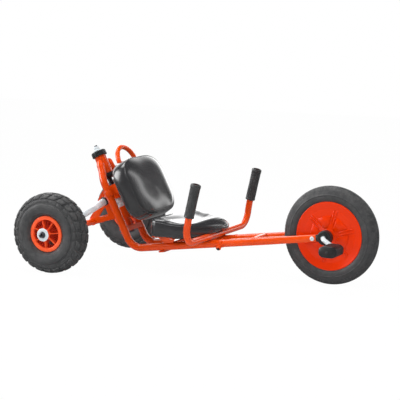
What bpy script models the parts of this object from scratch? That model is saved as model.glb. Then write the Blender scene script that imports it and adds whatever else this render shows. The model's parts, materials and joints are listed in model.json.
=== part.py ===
"""Low pedal tricycle for a child.

The rider sits between two rails that run from a sloping head tube at the back to the hub of the
front wheel. The front wheel is turned straight by cranks on its own axle. The rear axle hangs on
a spindle in the head tube, so the rider steers by leaning, and the front fork slides in the
rails to set the leg length.

Lengths are in millimetres and angles in degrees, in the vehicle's own frame: X points forward,
Y to the rider's left, Z up, and the origin lies on the ground below the middle of the rear axle.
The frame's left and right pieces come from one function each, with side = 1 or -1.
"""

import math

import bmesh
import bpy
from mathutils import Vector

# Everything is drawn in millimetres and stored in metres.
MM = 0.001

# Clearances
GAP = 0.3
TYRE_FIT = 0.8
SLIDE_FIT = 0.7

# Wheels
WHEELBASE = 857.5
TRACK = 530.8
REAR_TYRE_R = 130.0
REAR_TYRE_WIDTH = 83.0
REAR_TYRE_WALL = 6.0
TREAD_BLOCKS = 24
TREAD_HEIGHT = 4.0
TREAD_GROOVE = 0.3
TREAD_SLANT = 0.25
REAR_SEAT_R = 50.0
REAR_FLANGE_R = 58.7
REAR_RIM_WIDTH = 64.2
REAR_LIP = 5.2
REAR_HUB_R = 15.5
REAR_HUB_LENGTH = 96.0
REAR_SPOKES = 7
REAR_SPOKE_ANGLE = 110.0
REAR_SPOKE_THICKNESS = 4.5
REAR_WEB_THICKNESS = 4.0
VALVE_ANGLE = -57.7
VALVE_HOLE_R = 6.0
FRONT_TYRE_R = 155.2
FRONT_TYRE_WIDTH = 56.5
FRONT_TYRE_WALL = 5.0
FRONT_SEAT_R = 100.0
FRONT_LIP_R = 108.3
FRONT_RIM_WIDTH = 52.0
FRONT_LIP = 4.0
DISC_WALL = 3.5
DISC_FACE = 20.5
DISC_HUB_R = 20.0
DISC_HUB_FACE = 30.0
DISC_CONE_R = 64.0
DISC_RIBS = 6
DISC_RIB_ANGLE = 16.5
DISC_RIB_END_R = 86.0
DISC_RIB_WIDTH = 4.0
DISC_RIB_PITCH = 9.0
DISC_RIB_HEIGHT = 2.6

# Cranks and pedals
CRANK_ROD_R = 7.0
CRANK_LENGTH = 58.0
CRANK_DOWN = 28.0
CRANK_BEND_R = 11.0
CRANK_ARM_Y = 80.0
CRANK_FLARE = 10.0
PEDAL_LENGTH = 58.0
PEDAL_HEIGHT = 33.0
PEDAL_WIDTH = 66.0
PEDAL_ROUNDING = 9.0
PEDAL_PLAY = 1.5
PIN_PROUD = 2.0

# Steering axis, rear carriage and head tube
STEER_TILT = 27.0
STEER_X = 141.0
HEAD_R = 20.0
HEAD_BORE_R = 16.5
HEAD_LOW_T = 187.0
HEAD_LENGTH = 75.0
CAP_R = 25.5
CAP_HEIGHT = 12.0
LOWER_CAP_HEIGHT = 16.0
CAP_SPIGOT = 12.0
SPINDLE_R = 8.0
SPINDLE_HEAD_R = 12.0
SPINDLE_HEAD = 5.0
SPINDLE_TIP = 5.0
NUT_R = 10.5
NUT_HEIGHT = 9.0
BOSS_R = 18.0
BOSS_LOW_T = 96.0
BOSS_HEIGHT = 24.0
SPACER_RING_R = 12.5
SLEEVE_R = 17.0
SLEEVE_LOW_T = 25.0
SLEEVE_HIGH_T = 65.0
SLEEVE_NECK_R = 10.5
BRACKET_HIGH_T = -3.0
BRACKET_DEPTH = 17.0
BRACKET_WIDTH = 32.0
BRACKET_WALL = 4.0
BRACKET_HALF_SPAN = 48.0
BUSH_R = 11.0
BUSH_FLANGE_R = 14.0
BUSH_FLANGE = 2.0
WEB_THICKNESS = 5.0
BEAM_R = 10.5
BEAM_BORE_R = 7.5
BEAM_T = 108.0
BEAM_F = -33.0
BEAM_FOOT_Y = 208.0
BEAM_FOOT_RISE = 4.0
BEAM_BEND_R = 40.0
BEAM_GROOVE_START = 75.0
BEAM_GROOVE_DEPTH = 2.2
BEAM_SLEEVE_R = 14.5
BEAM_SLEEVE_HALF = 27.0
AXLE_TUBE_R = 11.5
AXLE_ROD_R = 6.0
AXLE_NUT_R = 9.3
AXLE_NUT_HEIGHT = 15.0
AXLE_WASHER_R = 19.0
AXLE_WASHER = 2.5

# Frame rails and fork
TUBE_R = 12.5
TUBE_WALL = 1.6
RAIL_Y = 55.0
RAIL_F = 6.0
RAIL_TOP_T = 250.0
SHOULDER_HIGH_T = 212.0
SHOULDER_LOW_T = 170.0
SHOULDER_R = 70.0
LOWER_BEND_R = 52.0
RUN_TILT = 7.75
MOUTH_X = 495.0
TAIL_LENGTH = 130.0
FORK_WALL = 1.7
FORK_FRONT_HEIGHT = 30.0
FORK_FRONT_WIDTH = 14.0
FORK_MORPH_S = -225.0
FORK_MORPH_LENGTH = 65.0
FORK_BRIDGE_S = -246.0
FORK_BRIDGE_U = 5.0
FORK_BRIDGE_R = 8.0
BLOCK_R = 20.0
BLOCK_INNER_Y = 43.0
BLOCK_WIDTH = 24.0
BLOCK_NECK = 9.0
BLOCK_SPIGOT = 32.0
BLADE_BOLT_BACK = 12.0
BOLT_R = 3.0
BOLT_HEAD_R = 6.0
BOLT_HEAD = 3.0
CLAMP_BACK = 13.0
CLAMP_TURN = 25.0
CLAMP_BOSS_R = 7.0
CLAMP_BOSS_HEIGHT = 10.0
CLAMP_KNOB_R = 6.0
CLAMP_KNOB = 7.0
CROSS_BAR_X = 293.0
CROSS_BAR_WIDTH = 20.0
CROSS_BAR_THICKNESS = 5.0
CROSS_BAR_HALF = 66.0

# Handle bar
BAR_X = 456.0
BAR_R = 11.0
BAR_WALL = 1.6
BAR_LEAN = 12.7
BAR_HALF_WIDTH = 230.0
BAR_BEND_R = 50.0
BAR_PAD_THICKNESS = 2.0
BAR_PAD_SIZE = 28.0
GRIP_LOW_Z = 211.0
GRIP_LENGTH = 108.0
GRIP_R = 15.5
GRIP_TOP_WALL = 5.0
GRIP_GROOVE = 1.3
GRIP_FLUTE_COUNT = 8

# Seat and backrest
SEAT_REAR_X = 290.0
SEAT_LENGTH = 285.0
SEAT_HALF_WIDTH = 136.0
SEAT_FLAT_END_X = 365.0
SEAT_RISE = 44.14
SEAT_NOSE_UNDER = 28.0
SEAT_DISH = 9.0
PAN_THICKNESS = 4.0
PAN_SHARE = 0.86
BRACKET_PLATE = 4.0
SEAT_TAB_HALF = 36.0
SEAT_STRAP_HALF = 16.0
SEAT_STRAP_MID_X = 326.0
SEAT_TAB_IN_Y = 92.0
SEAT_TAB_OUT_Y = 122.0
SEAT_STRAP_Y = 72.0
SEAT_BOLTS = ((298.0, 112.0, "rear"), (350.0, 105.0, "front"))
BACKREST_LOW_T = -8.0
BACKREST_HEIGHT = 206.0
BACKREST_HALF_WIDTH = 130.0
BACKREST_REAR_F = 72.0
BACKREST_THICKNESS = 68.0
BACKREST_CROWN = 12.0
BOARD_THICKNESS = 6.0
BOARD_LOW_T = 20.0
BOARD_HEIGHT = 140.0
BOARD_HALF_WIDTH = 88.0
HAT_LOW_T = 106.0
HAT_HEIGHT = 34.0
HAT_HALF_WIDTH = 50.0
HAT_FOOT = 16.0
HAT_WALL = 3.0
HOOP_R = 8.0
HOOP_BORE_R = 6.2
HOOP_HALF_WIDTH = 55.0
HOOP_F = 89.0
HOOP_TOP_T = 245.0
HOOP_FOOT_T = 130.0

# The seat cushion's top edge: places behind or ahead of its rear end, and heights over the pan's flat
SEAT_TOP_LINE = ((0.0, 46.0), (55.0, 46.0), (110.0, 42.0), (160.0, 46.0), (210.0, 66.0),
                 (245.0, 78.0), (285.0, 71.0))

# Facets round each kind of piece
RIM_SIDES = 21
FRONT_TYRE_SIDES = 28
DISC_SIDES = 24
TUBE_SIDES = 12
BORE_SIDES = 10
ROUND_SIDES = 16
SMALL_SIDES = 12
ROD_SIDES = 10
BOLT_SIDES = 6
BEAM_BEND_STEPS = 4
SHARP_ANGLE = 32.0

# Finishes: linear colour, roughness, metallic
FRAME_PAINT = ((0.63, 0.055, 0.012), 0.28, 0.0)
DISC_PLASTIC = ((0.80, 0.042, 0.007), 0.35, 0.0)
RIM_PLASTIC = ((0.84, 0.085, 0.030), 0.40, 0.0)
TYRE_RUBBER = ((0.035, 0.037, 0.038), 0.72, 0.0)
BLACK_PLASTIC = ((0.022, 0.023, 0.024), 0.45, 0.0)
BLACK_VINYL = ((0.012, 0.012, 0.013), 0.22, 0.0)
ZINC = ((0.62, 0.65, 0.66), 0.32, 1.0)
DARK_STEEL = ((0.12, 0.13, 0.14), 0.40, 1.0)
PLYWOOD = ((0.30, 0.20, 0.11), 0.60, 0.0)

# Values worked out from the sizes above
SIDES = ((1, "left"), (-1, "right"))
STEER_SIN = math.sin(math.radians(STEER_TILT))
STEER_COS = math.cos(math.radians(STEER_TILT))
RUN_SIN = math.sin(math.radians(RUN_TILT))
RUN_COS = math.cos(math.radians(RUN_TILT))
BORE_R = TUBE_R - TUBE_WALL
TAIL_R = BORE_R - SLIDE_FIT
MOUTH_S = (MOUTH_X - WHEELBASE) / RUN_COS
BAR_S = (BAR_X - WHEELBASE) / RUN_COS
BLADE_END_S = -(BLOCK_R + BLOCK_NECK)
AXLE_F = -STEER_X * STEER_COS
AXLE_T = STEER_X * STEER_SIN
HEAD_HIGH_T = HEAD_LOW_T + HEAD_LENGTH
CAP_TOP_T = HEAD_HIGH_T + GAP + CAP_HEIGHT
BRACKET_LOW_T = BRACKET_HIGH_T - BRACKET_DEPTH
RAIL_HEAD_Y = math.sqrt((HEAD_R + TUBE_R + GAP) ** 2 - RAIL_F ** 2)
WHEEL_Y = TRACK / 2
HUB_INNER_Y = WHEEL_Y - REAR_HUB_LENGTH / 2
HUB_OUTER_Y = WHEEL_Y + REAR_HUB_LENGTH / 2
CRANK_COS = math.cos(math.radians(CRANK_DOWN))
CRANK_SIN = math.sin(math.radians(CRANK_DOWN))
PIN_Y = CRANK_ARM_Y + CRANK_FLARE
PEDAL_INNER_Y = PIN_Y + CRANK_BEND_R + PEDAL_PLAY
FRONT_X = WHEELBASE + FRONT_TYRE_R
MIDDLE_X = (FRONT_X - REAR_TYRE_R) / 2
HAT_TOP_F = BACKREST_REAR_F - 2 * GAP - BOARD_THICKNESS


def steer(t, f, y=0.0):
    """A point by its height t up the steering axis and its distance f in front of the axis."""
    return Vector((STEER_X - t * STEER_SIN + f * STEER_COS, y, REAR_TYRE_R + t * STEER_COS + f * STEER_SIN))


def run(s, u, y=0.0):
    """A point by its distance s along the rails' line from the front hub and its height u over it."""
    return Vector((WHEELBASE + s * RUN_COS - u * RUN_SIN, y, FRONT_TYRE_R + s * RUN_SIN + u * RUN_COS))


def run_height(x):
    """Height of the rails' centre line at a place along the vehicle."""
    return FRONT_TYRE_R - (WHEELBASE - x) * RUN_SIN / RUN_COS


BAR_Z = run_height(BAR_X) + TUBE_R + BAR_PAD_THICKNESS + BAR_R
SEAT_UNDER_Z = run_height(SEAT_STRAP_MID_X) + SEAT_RISE
SEAT_TOP = [(SEAT_REAR_X + along, SEAT_UNDER_Z + height) for along, height in SEAT_TOP_LINE]
SEAT_UNDER = ((SEAT_REAR_X, SEAT_UNDER_Z), (SEAT_FLAT_END_X, SEAT_UNDER_Z),
              (BAR_X, BAR_Z + BAR_R + PAN_THICKNESS + 3 * GAP),
              (SEAT_REAR_X + SEAT_LENGTH, BAR_Z + BAR_R + PAN_THICKNESS + SEAT_NOSE_UNDER))


def bar_point(rise, y):
    """A point of the leaning plane that the handle bar is bent in, rise above the cross part."""
    lean = math.radians(BAR_LEAN)
    return Vector((BAR_X + rise * math.sin(lean), y, BAR_Z + rise * math.cos(lean)))


def knot_slope(before, after):
    """The slope of a smooth curve where two chords meet, level at a crest, a dip or a flat."""
    if before * after <= 0:
        return 0.0
    return 2 * before * after / (before + after)


def height_on(points, x):
    """The height at x of a smooth curve through points of (x, height)."""
    slopes = [(b[1] - a[1]) / (b[0] - a[0]) for a, b in zip(points, points[1:])]
    i = 0
    while i < len(slopes) - 1 and x > points[i + 1][0]:
        i += 1
    (x0, z0), (x1, z1) = points[i], points[i + 1]
    slope0 = knot_slope(slopes[max(i - 1, 0)], slopes[i])
    slope1 = knot_slope(slopes[i], slopes[min(i + 1, len(slopes) - 1)])
    span = x1 - x0
    k = min(max((x - x0) / span, 0.0), 1.0)
    return ((2 * k ** 3 - 3 * k ** 2 + 1) * z0 + (k ** 3 - 2 * k ** 2 + k) * span * slope0
            + (3 * k ** 2 - 2 * k ** 3) * z1 + (k ** 3 - k ** 2) * span * slope1)


def power(value, exponent):
    """A signed power, which turns a circle into a rounded square."""
    return math.copysign(abs(value) ** exponent, value)


def rounded(points, radius, steps):
    """An open path whose inner corners are replaced by arcs of one radius."""
    path = [points[0]]
    for before, corner, after in zip(points, points[1:], points[2:]):
        back = (before - corner).normalized()
        ahead = (after - corner).normalized()
        half = back.angle(ahead) / 2
        middle = corner + (back + ahead).normalized() * (radius / math.sin(half))
        start = corner + back * (radius / math.tan(half)) - middle
        end = corner + ahead * (radius / math.tan(half)) - middle
        turn = start.angle(end)
        for k in range(steps + 1):
            a = math.sin(turn * (1 - k / steps)) / math.sin(turn)
            b = math.sin(turn * k / steps) / math.sin(turn)
            path.append(middle + start * a + end * b)
    path.append(points[-1])
    return path


def frames(path, side):
    """Two cross directions at each point of a path, carried along it without twist."""
    result = []
    for i, point in enumerate(path):
        tangent = Vector((0.0, 0.0, 0.0))
        if i > 0:
            tangent += (point - path[i - 1]).normalized()
        if i < len(path) - 1:
            tangent += (path[i + 1] - point).normalized()
        tangent.normalize()
        side = (side - side.dot(tangent) * tangent).normalized()
        result.append((point, side, tangent.cross(side)))
    return result


def circle(centre, u, v, radius, sides, groove=None):
    """A ring of points; groove = (index, depth) sets one of them inward."""
    ring = []
    for i in range(sides):
        angle = 2 * math.pi * i / sides
        r = radius - groove[1] if groove and i == groove[0] else radius
        ring.append(centre + r * (math.cos(angle) * u + math.sin(angle) * v))
    return ring


def skin(bm, rings, closed=False):
    """Faces through rings of equal count, and the rings' vertices."""
    loops = [[bm.verts.new(point) for point in ring] for ring in rings]
    pairs = list(zip(loops, loops[1:]))
    if closed:
        pairs.append((loops[-1], loops[0]))
    for first, second in pairs:
        for i in range(len(first)):
            j = (i + 1) % len(first)
            bm.faces.new((first[i], first[j], second[j], second[i]))
    return loops


def loft(rings, closed=False):
    """A solid through rings, capped at its ends or closed on itself."""
    bm = bmesh.new()
    loops = skin(bm, rings, closed)
    if not closed:
        bm.faces.new(loops[0])
        bm.faces.new(loops[-1])
    return bm


def fill_between(bm, outer, inner):
    """Triangles between two loops round one centre, which may have unlike counts."""
    i = j = 0
    while i < len(outer) or j < len(inner):
        a, b = outer[i % len(outer)], inner[j % len(inner)]
        if (i + 0.5) / len(outer) < (j + 0.5) / len(inner):
            i += 1
            bm.faces.new((a, outer[i % len(outer)], b))
        else:
            j += 1
            bm.faces.new((a, inner[j % len(inner)], b))


def skin_unlike(bm, rings):
    """A skin closed on itself through rings round one axis, whose counts may differ."""
    loops = [[bm.verts.new(point) for point in ring] for ring in rings]
    for first, second in zip(loops, loops[1:] + loops[:1]):
        if len(first) != len(second):
            fill_between(bm, first, second)
            continue
        for i in range(len(first)):
            j = (i + 1) % len(first)
            bm.faces.new((first[i], first[j], second[j], second[i]))


def pipe(outer, inner):
    """An open pipe between an outer and an inner skin."""
    bm = bmesh.new()
    outside = skin(bm, outer)
    inside = skin(bm, inner)
    for end in (0, -1):
        fill_between(bm, outside[end], inside[end])
    return bm


def bent_tube(path, side, radius, bore=None, sides=TUBE_SIDES, bore_sides=BORE_SIDES):
    """A round tube, or a rod when it has no bore, along a path."""
    cross = frames(path, side)
    outer = [circle(point, u, v, radius, sides) for point, u, v in cross]
    if bore is None:
        return loft(outer)
    return pipe(outer, [circle(point, u, v, bore, bore_sides) for point, u, v in cross])


def axes_of(direction):
    """Two directions across an axis, the first as near X as it can be."""
    axis = Vector(direction).normalized()
    guide = Vector((1, 0, 0)) if abs(axis.x) < 0.9 else Vector((0, 0, 1))
    u = (guide - guide.dot(axis) * axis).normalized()
    return axis, u, axis.cross(u)


def turned(profile, axis, sides, origin=(0, 0, 0), bored=True):
    """A solid of revolution from (radius, distance along the axis) points.

    A bored profile is a closed outline, and any other runs from one end face to the other.
    """
    axis, u, v = axes_of(axis)
    rings = [circle(Vector(origin) + a * axis, u, v, r, sides) for r, a in profile]
    return loft(rings, closed=bored)


def around(radius, sides):
    """The radius of a faceted cutter whose flats clear a round piece."""
    return (radius + GAP) / math.cos(math.pi / sides)


def rod(start, end, radius, sides=SMALL_SIDES):
    """A plain round bar between two points."""
    _, u, v = axes_of(Vector(end) - Vector(start))
    return loft([circle(Vector(point), u, v, radius, sides) for point in (start, end)])


def prism(outline, thickness):
    """An outline of points pushed both ways by half of a thickness vector."""
    half = Vector(thickness) / 2
    return loft([[Vector(p) - half for p in outline], [Vector(p) + half for p in outline]])


def box(low, high):
    """A block between two corners."""
    (x0, y0, z0), (x1, y1, z1) = low, high
    outline = ((x0, y0, z0), (x1, y0, z0), (x1, y1, z0), (x0, y1, z0))
    rings = [[Vector(p) for p in outline], [Vector((p[0], p[1], z1)) for p in outline]]
    return loft(rings)


def group(name, parent=None, place=(0, 0, 0), tilt=0.0):
    """An empty that carries a group of pieces; tilt raises its X axis."""
    empty = bpy.data.objects.new(name, None)
    bpy.context.scene.collection.objects.link(empty)
    empty.parent = parent
    empty.location = Vector(place) * MM
    empty.rotation_euler = (0, -math.radians(tilt), 0)
    return empty


def shape(name, parent, bm):
    """An object from a mesh drawn in millimetres in its parent's axes."""
    bmesh.ops.scale(bm, vec=(MM, MM, MM), verts=bm.verts)
    bmesh.ops.recalc_face_normals(bm, faces=bm.faces)
    mesh = bpy.data.meshes.new(name)
    bm.to_mesh(mesh)
    bm.free()
    mesh.shade_smooth()
    mesh.set_sharp_from_angle(angle=math.radians(SHARP_ANGLE))
    obj = bpy.data.objects.new(name, mesh)
    bpy.context.scene.collection.objects.link(obj)
    obj.parent = parent
    return obj


def piece(name, parent, bm, finish):
    """One sub-part with its own material."""
    obj = shape(name, parent, bm)
    colour, roughness, metallic = finish
    material = bpy.data.materials.new(name + "_finish")
    material.use_nodes = True
    surface = material.node_tree.nodes["Principled BSDF"]
    surface.inputs["Base Color"].default_value = (*colour, 1.0)
    surface.inputs["Roughness"].default_value = roughness
    surface.inputs["Metallic"].default_value = metallic
    obj.data.materials.append(material)
    return obj


def combine(target, operation, tools):
    """Cuts helper shapes from a piece or welds them to it."""
    for number, (parent, bm) in enumerate(tools):
        tool = shape(target.name + "_tool_" + operation.lower() + str(number), parent, bm)
        tool.hide_render = True
        tool.display_type = "WIRE"
        modifier = target.modifiers.new(operation.title(), "BOOLEAN")
        modifier.operation = operation
        modifier.solver = "EXACT"
        modifier.object = tool


def cut(target, *tools):
    combine(target, "DIFFERENCE", tools)


def weld(target, *tools):
    combine(target, "UNION", tools)


# Rear wheels

def rear_rim(name, hub):
    """Moulded rim: hub, thin web, spokes that taper out to the barrel, and two rolled flanges."""
    half = REAR_RIM_WIDTH / 2
    web = REAR_WEB_THICKNESS / 2
    barrel_r = REAR_SEAT_R - 4.5
    bore = AXLE_ROD_R + GAP
    outer_side = [(REAR_HUB_R - 1.5, REAR_HUB_LENGTH / 2), (REAR_HUB_R, web), (barrel_r, web),
                  (barrel_r, half - 3), (REAR_SEAT_R, half), (REAR_FLANGE_R - 1, half),
                  (REAR_SEAT_R, half - REAR_LIP)]
    inner_side = [(r, -a) for r, a in reversed(outer_side)]
    profile = [(bore, -REAR_HUB_LENGTH / 2), (bore, REAR_HUB_LENGTH / 2)] + outer_side + inner_side
    rim = piece("rear_rim_" + name, hub, turned(profile, (0, 1, 0), RIM_SIDES), RIM_PLASTIC)
    spokes = bmesh.new()
    for k in range(REAR_SPOKES):
        angle = math.radians(REAR_SPOKE_ANGLE + 360 * k / REAR_SPOKES)
        out = Vector((math.cos(angle), 0, math.sin(angle)))
        across = Vector((-math.sin(angle), 0, math.cos(angle)))
        rings = []
        for r, a in ((REAR_HUB_R - 3, half + 5), (barrel_r + 1.5, half - 3.5),
                     (barrel_r + 1.5, 3.5 - half), (REAR_HUB_R - 3, -half - 5)):
            rings.append(out * r + Vector((0, a, 0)))
        blade = [[p - across * REAR_SPOKE_THICKNESS / 2 for p in rings],
                 [p + across * REAR_SPOKE_THICKNESS / 2 for p in rings]]
        loops = skin(spokes, blade)
        spokes.faces.new(loops[0])
        spokes.faces.new(loops[1])
    weld(rim, (hub, spokes))
    angle = math.radians(VALVE_ANGLE)
    valve_r = (REAR_HUB_R + barrel_r) / 2
    valve = (valve_r * math.cos(angle), 0, valve_r * math.sin(angle))
    hole = turned([(VALVE_HOLE_R, -web - 1), (VALVE_HOLE_R, web + 1)], (0, 1, 0), SMALL_SIDES, valve, False)
    cut(rim, (hub, hole))


def tyre_profile(outside, inside):
    """A tyre's section, open towards the rim, from bead to crown outside and back inside."""
    mirrored = [(r, -a) for r, a in reversed(outside)] + [(r, -a) for r, a in reversed(inside)]
    return outside + mirrored + inside


def wall_ring(radius, across):
    """Points round a tyre's side wall, one to a pitch of the tread."""
    ring = []
    for k in range(TREAD_BLOCKS):
        angle = 2 * math.pi * k / TREAD_BLOCKS
        ring.append(Vector((radius * math.cos(angle), across, radius * math.sin(angle))))
    return ring


def tread_ring(radius, across, lift, spread, phase):
    """Points round the tread, three to a pitch: a block's two edges and the groove after it.

    A block's edges stand out of the groove by lift, and sideways by spread, and phase turns
    the ring by a share of a pitch.
    """
    ring = []
    for k in range(TREAD_BLOCKS):
        for share, raised in ((TREAD_GROOVE / 2, 1), (1 - TREAD_GROOVE / 2, 1), (1, 0)):
            angle = 2 * math.pi * (k + share + phase) / TREAD_BLOCKS
            r, y = radius + lift * raised, across + spread * raised
            ring.append(Vector((r * math.cos(angle), y, r * math.sin(angle))))
    return ring


def rear_tyre(name, hub):
    """Pneumatic tyre with a row of tread blocks over each shoulder, slanted across the crown."""
    width = REAR_TYRE_WIDTH / 2
    wall = REAR_TYRE_WALL
    floor_r = REAR_TYRE_R - TREAD_HEIGHT
    seat = REAR_SEAT_R + TYRE_FIT
    bead = REAR_RIM_WIDTH / 2 - REAR_LIP - TYRE_FIT
    belly_r = REAR_FLANGE_R + 0.42 * (REAR_TYRE_R - REAR_FLANGE_R)
    side_wall = [(seat, bead - wall), (seat, bead), (REAR_FLANGE_R + TYRE_FIT, width - 11),
                 (REAR_FLANGE_R + 7, width - 4), (belly_r, width)]
    edge = (floor_r - 17, width - 9, 0.5 * TREAD_HEIGHT, 0.85 * TREAD_HEIGHT, 0)
    shoulder = (floor_r - 6, width - 16, 0.7 * TREAD_HEIGHT, 0.7 * TREAD_HEIGHT, TREAD_SLANT / 2)
    crown = (floor_r, 4.0, TREAD_HEIGHT, 0, TREAD_SLANT)
    inside = [(floor_r - 1.5 * wall, width - 22), (belly_r, width - wall)]
    rings = [wall_ring(r, a) for r, a in side_wall]
    rings += [tread_ring(*place) for place in (edge, shoulder, crown)]
    rings.append(tread_ring(floor_r, 0, 0, 0, 1.5 * TREAD_SLANT))
    rings += [tread_ring(r, -a, lift, -spread, 3 * TREAD_SLANT - phase)
              for r, a, lift, spread, phase in (crown, shoulder, edge)]
    rings += [wall_ring(r, -a) for r, a in reversed(side_wall)]
    rings += [wall_ring(r, -a) for r, a in reversed(inside)]
    rings += [wall_ring(r, a) for r, a in inside]
    bm = bmesh.new()
    skin_unlike(bm, rings)
    piece("rear_tyre_" + name, hub, bm, TYRE_RUBBER)


def axle_fittings(side, name, carriage):
    """The washer and the domed nut that keep a rear wheel on the axle rod."""
    y = HUB_OUTER_Y + GAP
    centre = (AXLE_F, side * y, AXLE_T)
    bore = AXLE_ROD_R + GAP
    washer = turned([(bore, 0), (AXLE_WASHER_R, 0), (AXLE_WASHER_R - 1, AXLE_WASHER), (bore, AXLE_WASHER)],
                    (0, side, 0), ROUND_SIDES, centre)
    piece("axle_washer_" + name, carriage, washer, ZINC)
    seat = y + AXLE_WASHER + GAP
    depth = AXLE_NUT_HEIGHT - 3
    nut = turned([(bore, 0), (AXLE_NUT_R, 0), (AXLE_NUT_R, 0.55 * AXLE_NUT_HEIGHT),
                  (AXLE_NUT_R * 0.85, 0.85 * AXLE_NUT_HEIGHT), (AXLE_NUT_R * 0.4, AXLE_NUT_HEIGHT),
                  (1.0, AXLE_NUT_HEIGHT), (1.0, depth), (bore, depth)],
                 (0, side, 0), SMALL_SIDES, (AXLE_F, side * seat, AXLE_T))
    piece("axle_nut_" + name, carriage, nut, DARK_STEEL)


# Carriage that hangs the rear axle on the steering spindle

def beam_path():
    """Centre line of the V-shaped stay beam, through its set place on the mid-plane."""
    foot = Vector((AXLE_F + BEAM_FOOT_RISE * STEER_SIN, 0, AXLE_T + BEAM_FOOT_RISE * STEER_COS))
    middle = Vector((BEAM_F, 0, BEAM_T))
    rise = middle - foot
    slope = math.atan2(rise.length, BEAM_FOOT_Y)
    apex = middle + rise.normalized() * BEAM_BEND_R * (1 / math.cos(slope) - 1)
    ends = [foot + Vector((0, side * BEAM_FOOT_Y, 0)) for side in (-1, 1)]
    return rounded([ends[0], apex, ends[1]], BEAM_BEND_R, BEAM_BEND_STEPS)


def stay_beam(carriage):
    """Zinc-plated tube from hub to hub, with a pressed groove along each arm."""
    path = beam_path()
    arm_low, arm_high = path[0], path[1]
    share = BEAM_GROOVE_START / BEAM_FOOT_Y
    start = arm_high + (arm_low - arm_high) * share
    mirrored = Vector((start.x, -start.y, start.z))
    step = (arm_low - arm_high).normalized() * 4
    step_mirrored = Vector((step.x, -step.y, step.z))
    full = [path[0], start + step, start] + path[1:-1] + [mirrored, mirrored + step_mirrored, path[-1]]
    grooved = {0, 1, len(full) - 2, len(full) - 1}
    outer = []
    inner = []
    for i, (point, u, v) in enumerate(frames(full, Vector((1, 0, 0)))):
        groove = (0, BEAM_GROOVE_DEPTH) if i in grooved else None
        outer.append(circle(point, u, v, BEAM_R, TUBE_SIDES, groove))
        inner.append(circle(point, u, v, BEAM_BORE_R, BORE_SIDES))
    beam = piece("stay_beam", carriage, pipe(outer, inner), ZINC)
    reach = BEAM_FOOT_Y + 40
    saddle = rod((AXLE_F, -reach, AXLE_T), (AXLE_F, reach, AXLE_T), around(AXLE_TUBE_R, ROUND_SIDES), ROUND_SIDES)
    cut(beam, (carriage, saddle))


def beam_sleeve(carriage):
    """Painted sleeve round the beam's bend, which the web is welded to."""
    foot, *path, _ = beam_path()
    arc_length = sum((b - a).length for a, b in zip(path, path[1:]))
    first = path[0] + (foot - path[0]).normalized() * (BEAM_SLEEVE_HALF - arc_length / 2)
    last = Vector((first.x, -first.y, first.z))
    cross = frames([first] + path + [last], Vector((1, 0, 0)))
    outer = [circle(point, u, v, BEAM_SLEEVE_R, TUBE_SIDES) for point, u, v in cross]
    inner = [circle(point, u, v, BEAM_R + GAP, TUBE_SIDES) for point, u, v in cross]
    piece("beam_sleeve", carriage, pipe(outer, inner), FRAME_PAINT)


def carriage_web(carriage):
    """Upright plate with a three-cornered hole between the sleeves, the beam and the axle tube."""
    front = -max(BOSS_R, SLEEVE_R) - GAP
    tail_r = AXLE_TUBE_R + 7.0
    corners = [(front, SLEEVE_LOW_T + 10), (-77, 46), (AXLE_F, AXLE_T - 8.5), (AXLE_F - tail_r, AXLE_T - 5),
               (AXLE_F - tail_r + 2, AXLE_T + 5), (AXLE_F - 5, AXLE_T + 15), (-115, 88), (-97, 95),
               (-80, 105), (-76, 118), (-56, 135), (-40, 143), (-30, 141), (front, 122)]
    outline = [(f, 0, t) for f, t in corners]
    web = piece("carriage_web", carriage, prism(outline, (0, WEB_THICKNESS, 0)), FRAME_PAINT)
    hole = [(-58, 0, 88), (-60, 0, 60), (-66, 0, 59), (-92, 0, 67), (-93, 0, 71), (-62, 0, 89)]
    mid = beam_path()[1 + BEAM_BEND_STEPS // 2]
    reach = WEB_THICKNESS
    cut(web,
        (carriage, prism(hole, (0, 2 * WEB_THICKNESS, 0))),
        (carriage, rod((mid.x, -reach, mid.z), (mid.x, reach, mid.z), around(BEAM_SLEEVE_R, TUBE_SIDES), TUBE_SIDES)),
        (carriage, rod((AXLE_F, -reach, AXLE_T), (AXLE_F, reach, AXLE_T), around(AXLE_TUBE_R, ROUND_SIDES), ROUND_SIDES)))


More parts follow.
